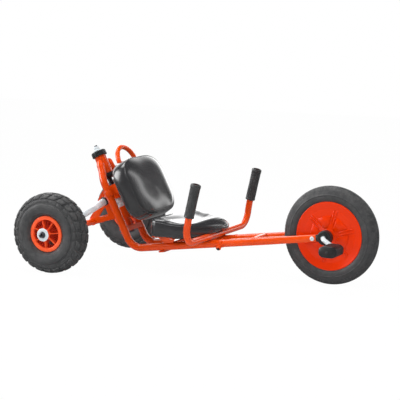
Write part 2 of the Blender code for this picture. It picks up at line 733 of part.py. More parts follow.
def spindle_parts(carriage):
    """The steering spindle and what is stacked on it, from its head below to its nut on top."""
    up = (0, 0, 1)
    bore = SPINDLE_R + GAP
    washer_t = CAP_TOP_T + GAP
    head_top = BRACKET_LOW_T - GAP
    tip_r = SPINDLE_R - 2
    spindle = [(SPINDLE_HEAD_R - 1, head_top - SPINDLE_HEAD), (SPINDLE_HEAD_R, head_top - SPINDLE_HEAD + 1),
               (SPINDLE_HEAD_R, head_top), (SPINDLE_R, head_top), (SPINDLE_R, CAP_TOP_T - 1),
               (tip_r, CAP_TOP_T), (tip_r, washer_t + NUT_HEIGHT + 2),
               (tip_r - 1, washer_t + NUT_HEIGHT + SPINDLE_TIP)]
    piece("steering_spindle", carriage, turned(spindle, up, TUBE_SIDES, bored=False), DARK_STEEL)
    nut = [(tip_r + GAP, washer_t), (NUT_R + 3, washer_t), (NUT_R + 3, washer_t + 2), (NUT_R, washer_t + 2),
           (NUT_R, washer_t + NUT_HEIGHT), (tip_r + GAP, washer_t + NUT_HEIGHT)]
    piece("spindle_nut", carriage, turned(nut, up, SMALL_SIDES), ZINC)
    boss_top = BOSS_LOW_T + BOSS_HEIGHT
    boss = [(bore, BOSS_LOW_T), (BOSS_R, BOSS_LOW_T), (BOSS_R, boss_top - 1.5), (BOSS_R - 1.5, boss_top),
            (bore, boss_top)]
    piece("upper_boss", carriage, turned(boss, up, ROUND_SIDES), FRAME_PAINT)
    low, high = SLEEVE_HIGH_T + GAP, BOSS_LOW_T - GAP
    ring = [(bore, low), (SPACER_RING_R, low), (SPACER_RING_R, high), (bore, high)]
    piece("spacer_ring", carriage, turned(ring, up, TUBE_SIDES), ZINC)
    foot = BRACKET_HIGH_T + BUSH_FLANGE + 2 * GAP
    sleeve = [(bore, foot), (SLEEVE_NECK_R, foot), (SLEEVE_NECK_R, SLEEVE_LOW_T), (SLEEVE_R, SLEEVE_LOW_T),
              (SLEEVE_R, SLEEVE_HIGH_T), (bore, SLEEVE_HIGH_T)]
    piece("lower_sleeve", carriage, turned(sleeve, up, ROUND_SIDES), FRAME_PAINT)


def axle(carriage):
    """The painted axle tube and the steel rod that passes through it and both rear wheels."""
    half = HUB_INNER_Y - GAP
    bore = AXLE_ROD_R + GAP
    tube = turned([(bore, -half), (AXLE_TUBE_R, -half), (AXLE_TUBE_R, half), (bore, half)],
                  (0, 1, 0), ROUND_SIDES, (AXLE_F, 0, AXLE_T))
    piece("axle_tube", carriage, tube, FRAME_PAINT)
    end = HUB_OUTER_Y + AXLE_WASHER + 2 * GAP + AXLE_NUT_HEIGHT - 4
    bar = rod((AXLE_F, -end, AXLE_T), (AXLE_F, end, AXLE_T), AXLE_ROD_R)
    piece("axle_rod", carriage, bar, ZINC)


# Frame

def head_parts(head):
    """The head tube and its black end caps, whose spigots sit in its bore."""
    up = (0, 0, 1)
    tube = [(HEAD_BORE_R, HEAD_LOW_T), (HEAD_R, HEAD_LOW_T), (HEAD_R, HEAD_HIGH_T), (HEAD_BORE_R, HEAD_HIGH_T)]
    piece("head_tube", head, turned(tube, up, ROUND_SIDES), FRAME_PAINT)
    bore = SPINDLE_R + GAP
    spigot = HEAD_BORE_R - GAP
    seat = HEAD_HIGH_T + GAP
    upper = [(bore, seat - CAP_SPIGOT), (spigot, seat - CAP_SPIGOT), (spigot, seat), (CAP_R, seat),
             (CAP_R, CAP_TOP_T - 2), (CAP_R - 2, CAP_TOP_T), (bore, CAP_TOP_T)]
    piece("head_cap_upper", head, turned(upper, up, ROUND_SIDES), BLACK_PLASTIC)
    seat = HEAD_LOW_T - GAP
    foot = seat - LOWER_CAP_HEIGHT
    lower = [(bore, foot), (HEAD_R - 1, foot), (CAP_R - 2, foot + 3), (CAP_R - 2, seat),
             (spigot, seat), (spigot, seat + CAP_SPIGOT), (bore, seat + CAP_SPIGOT)]
    piece("head_cap_lower", head, turned(lower, up, ROUND_SIDES), BLACK_PLASTIC)


def lower_pivot(head):
    """Channel between the uprights that carries the flanged bush of the spindle's lower end."""
    half = BRACKET_WIDTH / 2
    low, high, wall = BRACKET_LOW_T, BRACKET_HIGH_T, BRACKET_WALL
    section = [(-half, high), (half, high), (half, low), (-half, low), (-half, low + wall),
               (half - wall, low + wall), (half - wall, high - wall), (-half, high - wall)]
    outline = [(f, 0, t) for f, t in section]
    bracket = prism(outline, (0, 2 * BRACKET_HALF_SPAN, 0))
    bracket = piece("lower_pivot_bracket", head, bracket, FRAME_PAINT)
    cope = around(TUBE_R, TUBE_SIDES)
    rails = [(head, rod((RAIL_F, side * RAIL_Y, low - 5), (RAIL_F, side * RAIL_Y, high + 5), cope, TUBE_SIDES))
             for side, _ in SIDES]
    cut(bracket, (head, rod((0, 0, low - 5), (0, 0, high + 5), around(BUSH_R, TUBE_SIDES), TUBE_SIDES)), *rails)
    seat = high + GAP
    bush = [(SPINDLE_R + GAP, low), (BUSH_R, low), (BUSH_R, seat), (BUSH_FLANGE_R, seat),
            (BUSH_FLANGE_R, high + BUSH_FLANGE + GAP - 0.1), (SPINDLE_R + GAP, high + BUSH_FLANGE + GAP - 0.1)]
    piece("lower_bush", head, turned(bush, (0, 0, 1), TUBE_SIDES), BLACK_PLASTIC)


def rail_path(side):
    """From the head tube down, out and round to the mouth that takes the fork."""
    upright_x = steer(0, RAIL_F).x
    upright_z = steer(0, RAIL_F).z
    slope = RUN_SIN / RUN_COS
    corner_t = (run_height(upright_x) - upright_z) / (STEER_COS + slope * STEER_SIN)
    y = side * RAIL_Y
    head_y = side * RAIL_HEAD_Y
    shoulders = rounded([steer(RAIL_TOP_T, RAIL_F, head_y), steer(SHOULDER_HIGH_T, RAIL_F, head_y),
                         steer(SHOULDER_LOW_T, RAIL_F, y), steer(0, RAIL_F, y)], SHOULDER_R, 2)
    bend = rounded([steer(0, RAIL_F, y), steer(corner_t, RAIL_F, y), run(MOUTH_S, 0, y)], LOWER_BEND_R, 5)
    return shoulders[:-1] + bend[1:]


def clamp_axis(side):
    """Direction from the rail's centre line along which the fork's clamp screw stands."""
    angle = math.radians(CLAMP_TURN)
    return run(0, -math.sin(angle), side * math.cos(angle)) - run(0, 0)


def frame_rail(side, name, frame):
    """One rail, with the threaded boss of the fork's clamp screw welded near its mouth."""
    tube = bent_tube(rail_path(side), Vector((0, 1, 0)), TUBE_R, BORE_R)
    rail = piece("frame_rail_" + name, frame, tube, FRAME_PAINT)
    centre = run(MOUTH_S - CLAMP_BACK, 0, side * RAIL_Y)
    out = clamp_axis(side)
    boss = rod(centre + out * (TUBE_R - 1), centre + out * (TUBE_R + CLAMP_BOSS_HEIGHT), CLAMP_BOSS_R)
    bore = rod(centre + out * (BORE_R - 4), centre + out * (TUBE_R + CLAMP_BOSS_HEIGHT + 1),
               BOLT_R + GAP, BOLT_SIDES)
    weld(rail, (frame, boss))
    cut(rail, (frame, bore), (frame, bar_bolt_bore(side, BOLT_R + GAP)))
    shank_start = centre + out * (TAIL_R + GAP)
    knob_start = centre + out * (TUBE_R + CLAMP_BOSS_HEIGHT + GAP)
    screw = headed(shank_start, knob_start, BOLT_R, CLAMP_KNOB_R, CLAMP_KNOB)
    piece("clamp_screw_" + name, frame, screw, DARK_STEEL)


def headed(tip, under_head, shank_r, head_r, head):
    """A bolt from its tip to the underside of its domed head."""
    axis, u, v = axes_of(Vector(under_head) - Vector(tip))
    tip, under_head = Vector(tip), Vector(under_head)
    rings = [circle(tip, u, v, shank_r, BOLT_SIDES), circle(under_head, u, v, shank_r, BOLT_SIDES),
             circle(under_head, u, v, head_r, BOLT_SIDES),
             circle(under_head + axis * head, u, v, head_r * 0.85, BOLT_SIDES)]
    return loft(rings)


def lower_cross_bar(frame):
    """Flat strip under both rails, below the back of the seat."""
    s = (CROSS_BAR_X - WHEELBASE) / RUN_COS
    half = CROSS_BAR_WIDTH / 2
    high = -TUBE_R - GAP
    low = high - CROSS_BAR_THICKNESS
    outline = [run(s - half, low), run(s + half, low), run(s + half, high), run(s - half, high)]
    strip = prism(outline, (0, 2 * CROSS_BAR_HALF, 0))
    piece("lower_cross_bar", frame, strip, FRAME_PAINT)


# Handle bar

def handle_bar(frame):
    """The U-shaped bar under the seat's front, with a grip beside each thigh."""
    lean = math.radians(BAR_LEAN)
    end = (GRIP_LOW_Z - BAR_Z) / math.cos(lean) + GRIP_LENGTH - GRIP_TOP_WALL - GAP
    corners = [bar_point(end, -BAR_HALF_WIDTH), bar_point(0, -BAR_HALF_WIDTH),
               bar_point(0, BAR_HALF_WIDTH), bar_point(end, BAR_HALF_WIDTH)]
    tube = bent_tube(rounded(corners, BAR_BEND_R, 4), Vector((1, 0, 0)), BAR_R, BAR_R - BAR_WALL)
    bar = piece("handle_bar", frame, tube, FRAME_PAINT)
    cut(bar, *[(frame, bar_bolt_bore(side, BOLT_R + GAP)) for side, _ in SIDES])


def bar_bolt_bore(side, radius):
    """The bore for a bar bolt, from inside the rail to above the bar."""
    return rod(run(BAR_S, BORE_R - 4, side * RAIL_Y), run(BAR_S, 60, side * RAIL_Y), radius, BOLT_SIDES)


def bar_pad(side, name, frame):
    """Saddle between a rail and the bar above it, and the bolt through both."""
    y = side * RAIL_Y
    rail_z = run_height(BAR_X)
    half = BAR_PAD_SIZE / 2
    block = box((BAR_X - half, y - half, rail_z + TUBE_R * 0.35), (BAR_X + half, y + half, BAR_Z - BAR_R * 0.25))
    pad = piece("bar_pad_" + name, frame, block, BLACK_PLASTIC)
    reach = BAR_PAD_SIZE
    rail = rod(run(BAR_S - reach, 0, y), run(BAR_S + reach, 0, y), around(TUBE_R, TUBE_SIDES), TUBE_SIDES)
    bar = rod((BAR_X, y - reach, BAR_Z), (BAR_X, y + reach, BAR_Z), around(BAR_R, TUBE_SIDES), TUBE_SIDES)
    cut(pad, (frame, rail), (frame, bar), (frame, bar_bolt_bore(side, BOLT_R + GAP)))
    tip = run(BAR_S, BORE_R + GAP, y)
    under_head = run(BAR_S, TUBE_R + BAR_PAD_THICKNESS + 2 * BAR_R + GAP, y)
    bolt = headed(tip, under_head, BOLT_R, BOLT_HEAD_R, BOLT_HEAD)
    piece("bar_bolt_" + name, frame, bolt, ZINC)


def grip(side, name, frame):
    """Rubber grip, grooved lengthwise, closed at its top and bored from below."""
    lean = math.radians(BAR_LEAN)
    low = (GRIP_LOW_Z - BAR_Z) / math.cos(lean)
    y = side * BAR_HALF_WIDTH
    up = Vector((math.sin(lean), 0, math.cos(lean)))
    _, u, v = axes_of(up)
    count = 2 * GRIP_FLUTE_COUNT
    rings = []
    for rise, radius, groove in ((0, GRIP_R, 0), (6, GRIP_R, GRIP_GROOVE),
                                 (GRIP_LENGTH - 12, GRIP_R, GRIP_GROOVE), (GRIP_LENGTH - 8, GRIP_R + 0.6, 0),
                                 (GRIP_LENGTH - 2, GRIP_R + 0.6, 0), (GRIP_LENGTH, GRIP_R - 2, 0)):
        centre = bar_point(low + rise, y)
        ring = []
        for i in range(count):
            angle = 2 * math.pi * i / count
            r = radius - groove * (i % 2)
            ring.append(centre + r * (math.cos(angle) * u + math.sin(angle) * v))
        rings.append(ring)
    solid = piece("grip_" + name, frame, loft(rings), BLACK_PLASTIC)
    bore = rod(bar_point(low - 5, y), bar_point(low + GRIP_LENGTH - GRIP_TOP_WALL, y), BAR_R + GAP, TUBE_SIDES)
    cut(solid, (frame, bore))


# Seat

def seat_plan(x, share=1.0):
    """Half-width of the seat at a place along it: a rounded rectangle."""
    middle = SEAT_REAR_X + SEAT_LENGTH / 2
    k = min(abs(x - middle) / (SEAT_LENGTH / 2), 0.999)
    return share * SEAT_HALF_WIDTH * (1 - k ** 4.5) ** (1 / 4.5)


def seat_bracket(frame):
    """Strap across both rails whose ends rise to level tabs under the seat pan."""
    tab_top = SEAT_UNDER_Z - PAN_THICKNESS - 2 * GAP
    s = (SEAT_STRAP_MID_X - WHEELBASE) / RUN_COS
    low = TUBE_R + GAP
    strap = [run(s - SEAT_STRAP_HALF, low), run(s + SEAT_STRAP_HALF, low),
             run(s + SEAT_STRAP_HALF, low + BRACKET_PLATE), run(s - SEAT_STRAP_HALF, low + BRACKET_PLATE)]
    rear, front = SEAT_STRAP_MID_X - SEAT_TAB_HALF, SEAT_STRAP_MID_X + SEAT_TAB_HALF
    tab = [Vector((rear, 0, tab_top - BRACKET_PLATE)), Vector((front, 0, tab_top - BRACKET_PLATE)),
           Vector((front, 0, tab_top)), Vector((rear, 0, tab_top))]
    rings = []
    for y, section in ((-SEAT_TAB_OUT_Y, tab), (-SEAT_TAB_IN_Y, tab), (-SEAT_STRAP_Y, strap),
                       (SEAT_STRAP_Y, strap), (SEAT_TAB_IN_Y, tab), (SEAT_TAB_OUT_Y, tab)):
        rings.append([p + Vector((0, y, 0)) for p in section])
    bracket = piece("seat_bracket", frame, loft(rings), FRAME_PAINT)
    cut(bracket, *seat_bolt_bores(frame))
    for side, name in SIDES:
        for x, y, row in SEAT_BOLTS:
            under_head = (x, side * y, tab_top - BRACKET_PLATE - GAP)
            tip = (x, side * y, SEAT_UNDER_Z - GAP)
            bolt = headed(tip, under_head, BOLT_R, BOLT_HEAD_R, BOLT_HEAD)
            piece("seat_bolt_" + row + "_" + name, frame, bolt, ZINC)


def seat_bolt_bores(frame):
    """The bores for the seat bolts, through the tabs and the pan."""
    bores = []
    for side, _ in SIDES:
        for x, y, _ in SEAT_BOLTS:
            low, high = (x, side * y, SEAT_UNDER_Z - 20), (x, side * y, SEAT_UNDER_Z + 5)
            bores.append((frame, rod(low, high, BOLT_R + GAP, BOLT_SIDES)))
    return bores


def seat_pan(frame):
    """Pressed pan that follows the cushion's underside."""
    rings = []
    stations = 10
    for k in range(stations + 1):
        x = SEAT_REAR_X + 8 + (SEAT_LENGTH - 30) * k / stations
        z = height_on(SEAT_UNDER, x) - GAP
        w = seat_plan(x, PAN_SHARE)
        rings.append([Vector((x, -w, z - PAN_THICKNESS)), Vector((x, w, z - PAN_THICKNESS)),
                      Vector((x, w, z)), Vector((x, -w, z))])
    pan = piece("seat_pan", frame, loft(rings), BLACK_PLASTIC)
    heads = [(frame, bar_bolt_bore(side, BOLT_HEAD_R + 1)) for side, _ in SIDES]
    cut(pan, *seat_bolt_bores(frame), *heads)


def pillow(name, parent, stations, count, place, finish):
    """A closed, crowned cushion from (half-width, low, high, place along) stations."""
    rings = []
    for half_width, low, high, crown, along in stations:
        middle, half = (low + high) / 2, (high - low) / 2
        ring = []
        for i in range(count):
            angle = 2 * math.pi * i / count
            across = power(math.cos(angle), 0.42)
            level = power(math.sin(angle), 0.5)
            lift = crown * (1 - across ** 2) if level > 0 else 0.0
            ring.append(place(along, half_width * across, middle + half * level + lift))
        rings.append(ring)
    return piece(name, parent, loft(rings), finish)


def seat_cushion(frame):
    """Dished seat cushion with a raised roll under the knees."""
    stations = []
    steps = 14
    middle, half = SEAT_REAR_X + SEAT_LENGTH / 2, SEAT_LENGTH / 2
    for k in range(steps + 1):
        turn = math.radians(-82 + 164 * k / steps)
        x = middle + half * power(math.sin(turn), 0.62)
        thin = math.cos(turn) ** 0.30
        low, high = height_on(SEAT_UNDER, x), height_on(SEAT_TOP, x)
        centre = (low + high) / 2
        depth = (high - low) / 2 * thin
        stations.append((SEAT_HALF_WIDTH * math.cos(turn) ** 0.45, centre - depth, centre + depth,
                         -SEAT_DISH * thin, x))
    pillow("seat_cushion", frame, stations, 24, lambda x, y, z: Vector((x, y, z)), BLACK_VINYL)


# Backrest

def backrest_cushion(head):
    """Thick, crowned backrest cushion, bored from its top for the feet of the hoop."""
    stations = []
    steps = 10
    middle, half = BACKREST_LOW_T + BACKREST_HEIGHT / 2, BACKREST_HEIGHT / 2
    centre = BACKREST_REAR_F + BACKREST_THICKNESS / 2
    for k in range(steps + 1):
        turn = math.radians(-80 + 160 * k / steps)
        t = middle + half * power(math.sin(turn), 0.66)
        depth = BACKREST_THICKNESS / 2 * math.cos(turn) ** 0.30
        stations.append((BACKREST_HALF_WIDTH * math.cos(turn) ** 0.5, centre - depth, centre + depth,
                         BACKREST_CROWN * math.cos(turn), t))
    cushion = pillow("backrest_cushion", head, stations, 24, lambda t, y, f: Vector((f, y, t)), BLACK_VINYL)
    cut(cushion, (head, bent_tube(hoop_path(GAP), Vector((1, 0, 0)), HOOP_R + GAP, sides=ROD_SIDES)))


def hoop_path(extra=0.0):
    """Centre line of the hoop: two straight legs under a half circle."""
    path = [Vector((HOOP_F, HOOP_HALF_WIDTH, HOOP_FOOT_T - extra))]
    steps = 8
    centre_t = HOOP_TOP_T - HOOP_HALF_WIDTH
    for k in range(steps + 1):
        angle = math.pi * k / steps
        path.append(Vector((HOOP_F, HOOP_HALF_WIDTH * math.cos(angle),
                            centre_t + HOOP_HALF_WIDTH * math.sin(angle))))
    path.append(Vector((HOOP_F, -HOOP_HALF_WIDTH, HOOP_FOOT_T - extra)))
    return path


def backrest_hoop(head):
    """Round hoop that stands out of the cushion's top as a carrying handle."""
    hoop = bent_tube(hoop_path(), Vector((1, 0, 0)), HOOP_R, HOOP_BORE_R, ROD_SIDES, BOLT_SIDES)
    piece("backrest_hoop", head, hoop, FRAME_PAINT)


def backrest_mount(head):
    """Board behind the cushion and the hat-shaped bracket between the board and the uprights."""
    rear = BACKREST_REAR_F - GAP - BOARD_THICKNESS
    corner = 22.0
    low, high, w = BOARD_LOW_T, BOARD_LOW_T + BOARD_HEIGHT, BOARD_HALF_WIDTH
    outline = []
    for cy, ct, start in ((w - corner, high - corner, 0), (corner - w, high - corner, 90),
                          (corner - w, low + corner, 180), (w - corner, low + corner, 270)):
        for k in range(5):
            angle = math.radians(start + 90 * k / 4)
            outline.append((rear + BOARD_THICKNESS / 2, cy + corner * math.cos(angle),
                            ct + corner * math.sin(angle)))
    piece("backrest_board", head, prism(outline, (BOARD_THICKNESS, 0, 0)), PLYWOOD)
    seat = RAIL_F + TUBE_R + GAP
    wide, wall = HAT_HALF_WIDTH, HAT_WALL
    foot = wide + HAT_FOOT
    section = [(-foot, seat), (-foot, seat + wall), (-wide, seat + wall), (-wide, HAT_TOP_F),
               (wide, HAT_TOP_F), (wide, seat + wall), (foot, seat + wall), (foot, seat),
               (wide - wall, seat), (wide - wall, HAT_TOP_F - wall), (wall - wide, HAT_TOP_F - wall),
               (wall - wide, seat)]
    outline = [(f, y, HAT_LOW_T + HAT_HEIGHT / 2) for y, f in section]
    piece("backrest_bracket", head, prism(outline, (0, 0, HAT_HEIGHT)), FRAME_PAINT)


# Fork

def oval(s, height, width, y, sides=TUBE_SIDES):
    """An upright oval ring across the fork's line."""
    ring = []
    for i in range(sides):
        angle = 2 * math.pi * i / sides
        ring.append(Vector((s, y + width / 2 * math.cos(angle), height / 2 * math.sin(angle))))
    return ring


def blade_size(s):
    """Height and width of a blade at a place along it: round at the rail, oval at the hub."""
    k = min(max((s - FORK_MORPH_S) / FORK_MORPH_LENGTH, 0.0), 1.0)
    k = k * k * (3 - 2 * k)
    full = 2 * TUBE_R
    return full + (FORK_FRONT_HEIGHT - full) * k, full + (FORK_FRONT_WIDTH - full) * k


def fork_blade(side, name, fork):
    """One blade: a tail that slides in the rail, a round tube and an upright oval at the hub."""
    y = side * RAIL_Y
    shoulder = MOUTH_S + GAP
    bore = 2 * (TAIL_R - FORK_WALL)
    stations = [FORK_MORPH_S + FORK_MORPH_LENGTH * k / 3 for k in range(4)] + [BLADE_END_S]
    outer = [oval(shoulder - TAIL_LENGTH, 2 * TAIL_R, 2 * TAIL_R, y), oval(shoulder, 2 * TAIL_R, 2 * TAIL_R, y),
             oval(shoulder, 2 * TUBE_R, 2 * TUBE_R, y)]
    inner = [oval(shoulder - TAIL_LENGTH, bore, bore, y, BORE_SIDES)]
    for s in stations:
        height, width = blade_size(s)
        outer.append(oval(s, height, width, y))
        inner.append(oval(s, min(bore, height - 4), min(bore, width - 4), y, BORE_SIDES))
    blade = piece("fork_blade_" + name, fork, pipe(outer, inner), FRAME_PAINT)
    bolt_s = BLADE_END_S - BLADE_BOLT_BACK
    half = FORK_FRONT_WIDTH / 2
    hole = rod((bolt_s, side * (RAIL_Y + 1), 0), (bolt_s, side * (RAIL_Y + half + 5), 0), BOLT_R + GAP, BOLT_SIDES)
    cut(blade, (fork, hole))
    bolt = headed((bolt_s, side * (RAIL_Y - 2), 0), (bolt_s, side * (RAIL_Y + half + GAP), 0),
                  BOLT_R, BOLT_HEAD_R, BOLT_HEAD)
    piece("blade_bolt_" + name, fork, bolt, ZINC)


def bearing_block(side, name, fork):
    """Black block round the crank shaft, with a spigot bolted into the blade's open end."""
    inner, outer = BLOCK_INNER_Y, BLOCK_INNER_Y + BLOCK_WIDTH
    drum = [(CRANK_ROD_R + GAP, inner), (BLOCK_R - 6, inner), (BLOCK_R, inner + 3), (BLOCK_R, outer - 2),
            (BLOCK_R - 2, outer), (CRANK_ROD_R + GAP, outer)]
    block = piece("bearing_block_" + name, fork, turned(drum, (0, side, 0), ROUND_SIDES), BLACK_PLASTIC)
    y = side * RAIL_Y
    root = -(BLOCK_R - 4)
    neck_end = BLADE_END_S + GAP
    bore = 2 * (TAIL_R - FORK_WALL)
    high, wide = min(bore, FORK_FRONT_HEIGHT - 4) - 1.5, FORK_FRONT_WIDTH - 5.5
    neck = [oval(root, FORK_FRONT_HEIGHT - 2, FORK_FRONT_WIDTH, y, BORE_SIDES),
            oval(neck_end, FORK_FRONT_HEIGHT - 1, FORK_FRONT_WIDTH, y, BORE_SIDES),
            oval(neck_end, high, wide, y, BORE_SIDES),
            oval(neck_end - BLOCK_SPIGOT, high, wide, y, BORE_SIDES)]
    weld(block, (fork, loft(neck)))
    bolt_s = BLADE_END_S - BLADE_BOLT_BACK
    hole = rod((bolt_s, side * (RAIL_Y - 2 - GAP), 0), (bolt_s, side * (RAIL_Y + 10), 0), BOLT_R + GAP, BOLT_SIDES)
    cut(block, (fork, hole))


def fork_bridge(fork):
    """Cross tube between the blades, coped round them."""
    half = RAIL_Y - 2
    tube = rod((FORK_BRIDGE_S, -half, FORK_BRIDGE_U), (FORK_BRIDGE_S, half, FORK_BRIDGE_U), FORK_BRIDGE_R)
    bridge = piece("fork_bridge", fork, tube, FRAME_PAINT)
    reach = 30.0
    cut(bridge, *[(fork, rod((FORK_BRIDGE_S - reach, side * RAIL_Y, 0), (FORK_BRIDGE_S + reach, side * RAIL_Y, 0),
                             around(TUBE_R, TUBE_SIDES), TUBE_SIDES)) for side, _ in SIDES])


# Front wheel

def front_disc(side, name, wheel):
    """One half of the front wheel: a dished shell with double ribs, open towards the other half."""
    half = FRONT_RIM_WIDTH / 2
    bore = CRANK_ROD_R + GAP
    wall = DISC_WALL
    face = DISC_FACE
    outer = [(bore, DISC_HUB_FACE), (DISC_HUB_R, DISC_HUB_FACE), (DISC_HUB_R + 4, DISC_HUB_FACE - 2),
             (DISC_CONE_R, face), (FRONT_SEAT_R - 6, face), (FRONT_SEAT_R - 1, half),
             (FRONT_LIP_R, half - 0.5), (FRONT_SEAT_R, half - FRONT_LIP), (FRONT_SEAT_R, GAP / 2)]
    inner = [(FRONT_SEAT_R - wall, GAP / 2), (FRONT_SEAT_R - 2 * wall, face - wall), (DISC_CONE_R, face - wall),
             (bore + 6, DISC_HUB_FACE - 2 * wall), (bore + 6, GAP / 2), (bore, GAP / 2)]
    shell = turned(outer + inner, (0, side, 0), DISC_SIDES)
    disc = piece("front_disc_" + name, wheel, shell, DISC_PLASTIC)
    slope = (DISC_HUB_FACE - 2 - face) / (DISC_CONE_R - DISC_HUB_R - 4)
    rib_start = DISC_CONE_R - 26
    section = [(rib_start, face + slope * 26 - 1), (rib_start, face + slope * 26 + DISC_RIB_HEIGHT),
               (DISC_CONE_R, face + DISC_RIB_HEIGHT), (DISC_RIB_END_R - 3, face + DISC_RIB_HEIGHT),
               (DISC_RIB_END_R, face - 1), (DISC_CONE_R, face - 1)]
    ribs = bmesh.new()
    for k in range(2 * DISC_RIBS):
        angle = math.radians(DISC_RIB_ANGLE + 360 * (k // 2) / DISC_RIBS)
        out = Vector((math.cos(angle), 0, math.sin(angle)))
        across = Vector((-math.sin(angle), 0, math.cos(angle)))
        shift = across * DISC_RIB_PITCH / 2 * (1 if k % 2 else -1)
        line = [out * r + Vector((0, side * a, 0)) + shift for r, a in section]
        blade = [[p - across * DISC_RIB_WIDTH / 2 for p in line], [p + across * DISC_RIB_WIDTH / 2 for p in line]]
        loops = skin(ribs, blade)
        ribs.faces.new(loops[0])
        ribs.faces.new(loops[1])
    weld(disc, (wheel, ribs))


def front_tyre(wheel):
    """Slim, smooth tyre on the front disc."""
    width = FRONT_TYRE_WIDTH / 2
    wall = FRONT_TYRE_WALL
    seat = FRONT_SEAT_R + TYRE_FIT
    bead = FRONT_RIM_WIDTH / 2 - FRONT_LIP - TYRE_FIT
    tall = FRONT_TYRE_R - FRONT_LIP_R
    belly_r = FRONT_LIP_R + 0.40 * tall
    outside = [(seat, bead - wall), (seat, bead), (FRONT_LIP_R + TYRE_FIT, width - 3.5), (belly_r, width),
               (FRONT_LIP_R + 0.75 * tall, width - 5), (FRONT_TYRE_R - 3, width - 15), (FRONT_TYRE_R, 5)]
    inside = [(FRONT_TYRE_R - 1.5 * wall, 6), (belly_r, width - wall)]
    profile = tyre_profile(outside, inside)
    piece("front_tyre", wheel, turned(profile, (0, 1, 0), FRONT_TYRE_SIDES), TYRE_RUBBER)


def crank_axle(wheel):
    """One bent rod: the shaft through the wheel, the two cranks and the pedal pins."""
    pin_end = PEDAL_INNER_Y + PEDAL_WIDTH + PIN_PROUD
    foot = Vector((CRANK_LENGTH * CRANK_COS, 0, -CRANK_LENGTH * CRANK_SIN))
    corners = [Vector((foot.x, -pin_end, foot.z)), Vector((foot.x, -PIN_Y, foot.z)),
               Vector((0, -CRANK_ARM_Y, 0)), Vector((0, CRANK_ARM_Y, 0)),
               Vector((-foot.x, PIN_Y, -foot.z)), Vector((-foot.x, pin_end, -foot.z))]
    path = rounded(corners, CRANK_BEND_R, 3)
    piece("crank_axle", wheel, bent_tube(path, Vector((0, 0, 1)), CRANK_ROD_R, sides=ROD_SIDES), ZINC)


def pedal(side, name, parent):
    """Rounded block that turns on the crank's pin, ribbed across its treads."""
    long, high = PEDAL_LENGTH / 2, PEDAL_HEIGHT / 2
    radius = PEDAL_ROUNDING
    outline = []
    for cx, cz, start in ((long - radius, high - radius, 0), (radius - long, high - radius, 90),
                          (radius - long, radius - high, 180), (long - radius, radius - high, 270)):
        for k in range(3):
            angle = math.radians(start + 90 * k / 2)
            outline.append((cx + radius * math.cos(angle), cz + radius * math.sin(angle)))
    rings = []
    for a, share in ((0, 0.9), (3, 1.0), (PEDAL_WIDTH - 3, 1.0), (PEDAL_WIDTH, 0.9)):
        rings.append([Vector((x * share, side * a, z * share)) for x, z in outline])
    block = piece("pedal_" + name, parent, loft(rings), BLACK_PLASTIC)
    tools = [(parent, rod((0, -side * 5, 0), (0, side * (PEDAL_WIDTH + 5), 0), CRANK_ROD_R + GAP))]
    for face in (-1, 1):
        for a in (0.3, 0.7):
            y = side * PEDAL_WIDTH * a
            low = (-long - 1, y - 2.5, high - 1.6) if face > 0 else (-long - 1, y - 2.5, -high - 1)
            top = (long + 1, y + 2.5, high + 1) if face > 0 else (long + 1, y + 2.5, 1.6 - high)
            tools.append((parent, box(low, top)))
    cut(block, *tools)


def build():
    """Empties for what moves as one, and the pieces on each of them."""
    vehicle = group("tricycle", place=(-MIDDLE_X, 0, 0))
    frame = group("frame", vehicle)
    head = group("head_axes", frame, (STEER_X, 0, REAR_TYRE_R), STEER_TILT)
    carriage = group("carriage", vehicle, (STEER_X, 0, REAR_TYRE_R), STEER_TILT)
    fork = group("fork", vehicle, (WHEELBASE, 0, FRONT_TYRE_R), RUN_TILT)
    front_wheel = group("front_wheel", vehicle, (WHEELBASE, 0, FRONT_TYRE_R))

    head_parts(head)
    lower_pivot(head)
    lower_cross_bar(frame)
    handle_bar(frame)
    seat_bracket(frame)
    seat_pan(frame)
    seat_cushion(frame)
    backrest_mount(head)
    backrest_cushion(head)
    backrest_hoop(head)
    spindle_parts(carriage)
    stay_beam(carriage)
    beam_sleeve(carriage)
    carriage_web(carriage)
    axle(carriage)
    fork_bridge(fork)
    front_tyre(front_wheel)
    crank_axle(front_wheel)
    for side, name in SIDES:
        frame_rail(side, name, frame)
        bar_pad(side, name, frame)
        grip(side, name, frame)
        fork_blade(side, name, fork)
        bearing_block(side, name, fork)
        front_disc(side, name, front_wheel)
        axle_fittings(side, name, carriage)
        hub = group("rear_wheel_" + name, vehicle, (0, side * WHEEL_Y, REAR_TYRE_R))
        rear_rim(name, hub)
        rear_tyre(name, hub)
        pin = (WHEELBASE - side * CRANK_LENGTH * CRANK_COS, side * PEDAL_INNER_Y,
               FRONT_TYRE_R + side * CRANK_LENGTH * CRANK_SIN)
        pedal(side, name, group("pedal_pin_" + name, vehicle, pin))


for old in list(bpy.data.objects):
    bpy.data.objects.remove(old, do_unlink=True)
build()
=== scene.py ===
import math

